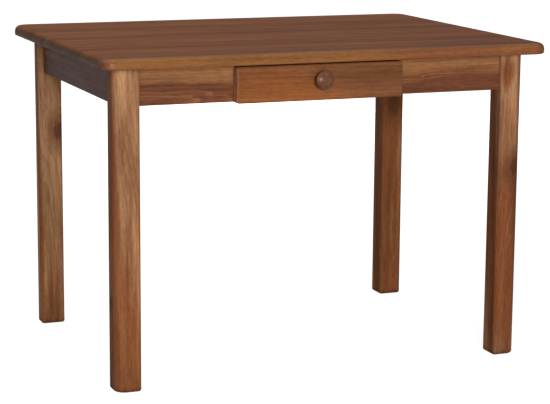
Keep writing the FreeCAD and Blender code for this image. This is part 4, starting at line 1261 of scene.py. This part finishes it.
def width_beyond(points, middle, way, distance):
    """The radius of the points that lie beyond a distance along the way."""
    end = [p for p in points if (p - middle).dot(way) > distance]
    return max(off_axis(p, middle, way).length for p in end)


def add_screw(turning, points):
    """One screw in the place of a smooth one: its axis is the long side of its box."""
    middle, size = box_of(points)
    longest = max(range(3), key=lambda i: size[i])
    axis = Vector([1.0 if i == longest else 0.0 for i in range(3)])
    half = size[longest] / 2
    axis = max((axis, -axis), key=lambda way: width_beyond(points, middle, way, half - HEAD_SLICE))
    pan = width_beyond(points, middle, axis, half - RIM_SLICE) < PAN_RIM
    crown = PAN_CROWN if pan else 0.0
    place = aimed(middle + axis * (half - crown), axis)
    turning.skin(place, head_rings(PAN_PROFILE if pan else FLUSH_PROFILE, crown))
    turning.skin(place, thread(crown - 2 * half, 0.0 if pan else FLUSH_NECK, **SHANK))


SCREW_SETS = {"bracket_screws": "table", "cleat_screws": "table", "top_screws": "table",
              "ledge_screws": "table", "stop_screws": "table", "knob_screw": "drawer"}
for node, body in SCREW_SETS.items():
    turning = Turning()
    for points in islands(node):
        add_screw(turning, points)
    turning.finish(f"cross_recess_{node}", node, body)

# %% [markdown]
# A hanger bolt has a wood thread in the leg and a machine thread through the bracket. It runs inwards at
# 45 degrees to both aprons, and the nut on it pulls the leg tight. Two rods with threads of their own,
# end to end, make the bolt. The nut's corners are turned down to a cone at both ends, which is what draws
# the curved edges on its flats, so the cone is worked out point by point instead of being left flat.

# %% Hanger bolts
WOOD_END = 42.0 * MM
MACHINE_THREAD = {"outer": 4.0 * MM, "core": 3.35 * MM, "pitch": 1.25 * MM, "sides": 24}
WOOD_THREAD = {"outer": 4.0 * MM, "core": 2.8 * MM, "pitch": 3.0 * MM, "sides": 16, "point": 7.0 * MM}


def on_diagonal(points):
    """The points' middle, the level way inwards at 45 degrees, and how far they reach along it."""
    middle = box_of(points)[0]
    axis = Vector((math.copysign(1, -middle.x), math.copysign(1, -middle.y), 0)).normalized()
    return middle, axis, max((p - middle).dot(axis) for p in points)


turning = Turning()
for points in islands("hanger_bolts"):
    middle, axis, end = on_diagonal(points)
    place = aimed(middle, axis)
    turning.skin(place, thread(-end, WOOD_END - end, **WOOD_THREAD))
    turning.skin(place, thread(WOOD_END - end, end, **MACHINE_THREAD))
turning.finish("threaded_hanger_bolts", "hanger_bolts", "table")

# %% Nuts
NUT_SIDES = 48
NUT_HALF_FLATS = 6.5 * MM
NUT_CONE_RADIUS = 6.25 * MM
NUT_CONE_DROP = math.tan(math.radians(30))
NUT_BORE = 4.05 * MM
NUT_BORE_CHAMFER = 0.5 * MM


def hexagon(turn):
    """The distance from the middle of a hexagon to its outline; a corner lies at 0."""
    return NUT_HALF_FLATS / math.cos(turn % (math.pi / 3) - math.pi / 6)


def nut_rings(thick):
    """Rings from the bore's foot, out over the flats and back to the bore's head."""
    turns = even_turns(NUT_SIDES)

    def flats(height, way):
        return [(hexagon(t) * math.cos(t), hexagon(t) * math.sin(t),
                 height + way * NUT_CONE_DROP * max(0.0, hexagon(t) - NUT_CONE_RADIUS)) for t in turns]

    return [ring_at(turns, NUT_BORE, 0.0), ring_at(turns, NUT_CONE_RADIUS, 0.0), flats(0.0, 1),
            flats(thick, -1), ring_at(turns, NUT_CONE_RADIUS, thick),
            ring_at(turns, NUT_BORE + NUT_BORE_CHAMFER, thick),
            ring_at(turns, NUT_BORE, thick - NUT_BORE_CHAMFER), ring_at(turns, NUT_BORE, 0.0)]


turning = Turning()
for points in islands("bracket_nuts"):
    middle, axis, end = on_diagonal(points)
    corner = max(points, key=lambda p: off_axis(p, middle, axis).length)
    side = off_axis(corner, middle, axis).normalized()
    turning.skin(aimed(middle - axis * end, axis, side), nut_rings(2 * end), open_ends=True)
turning.finish("chamfered_bracket_nuts", "bracket_nuts", "table")
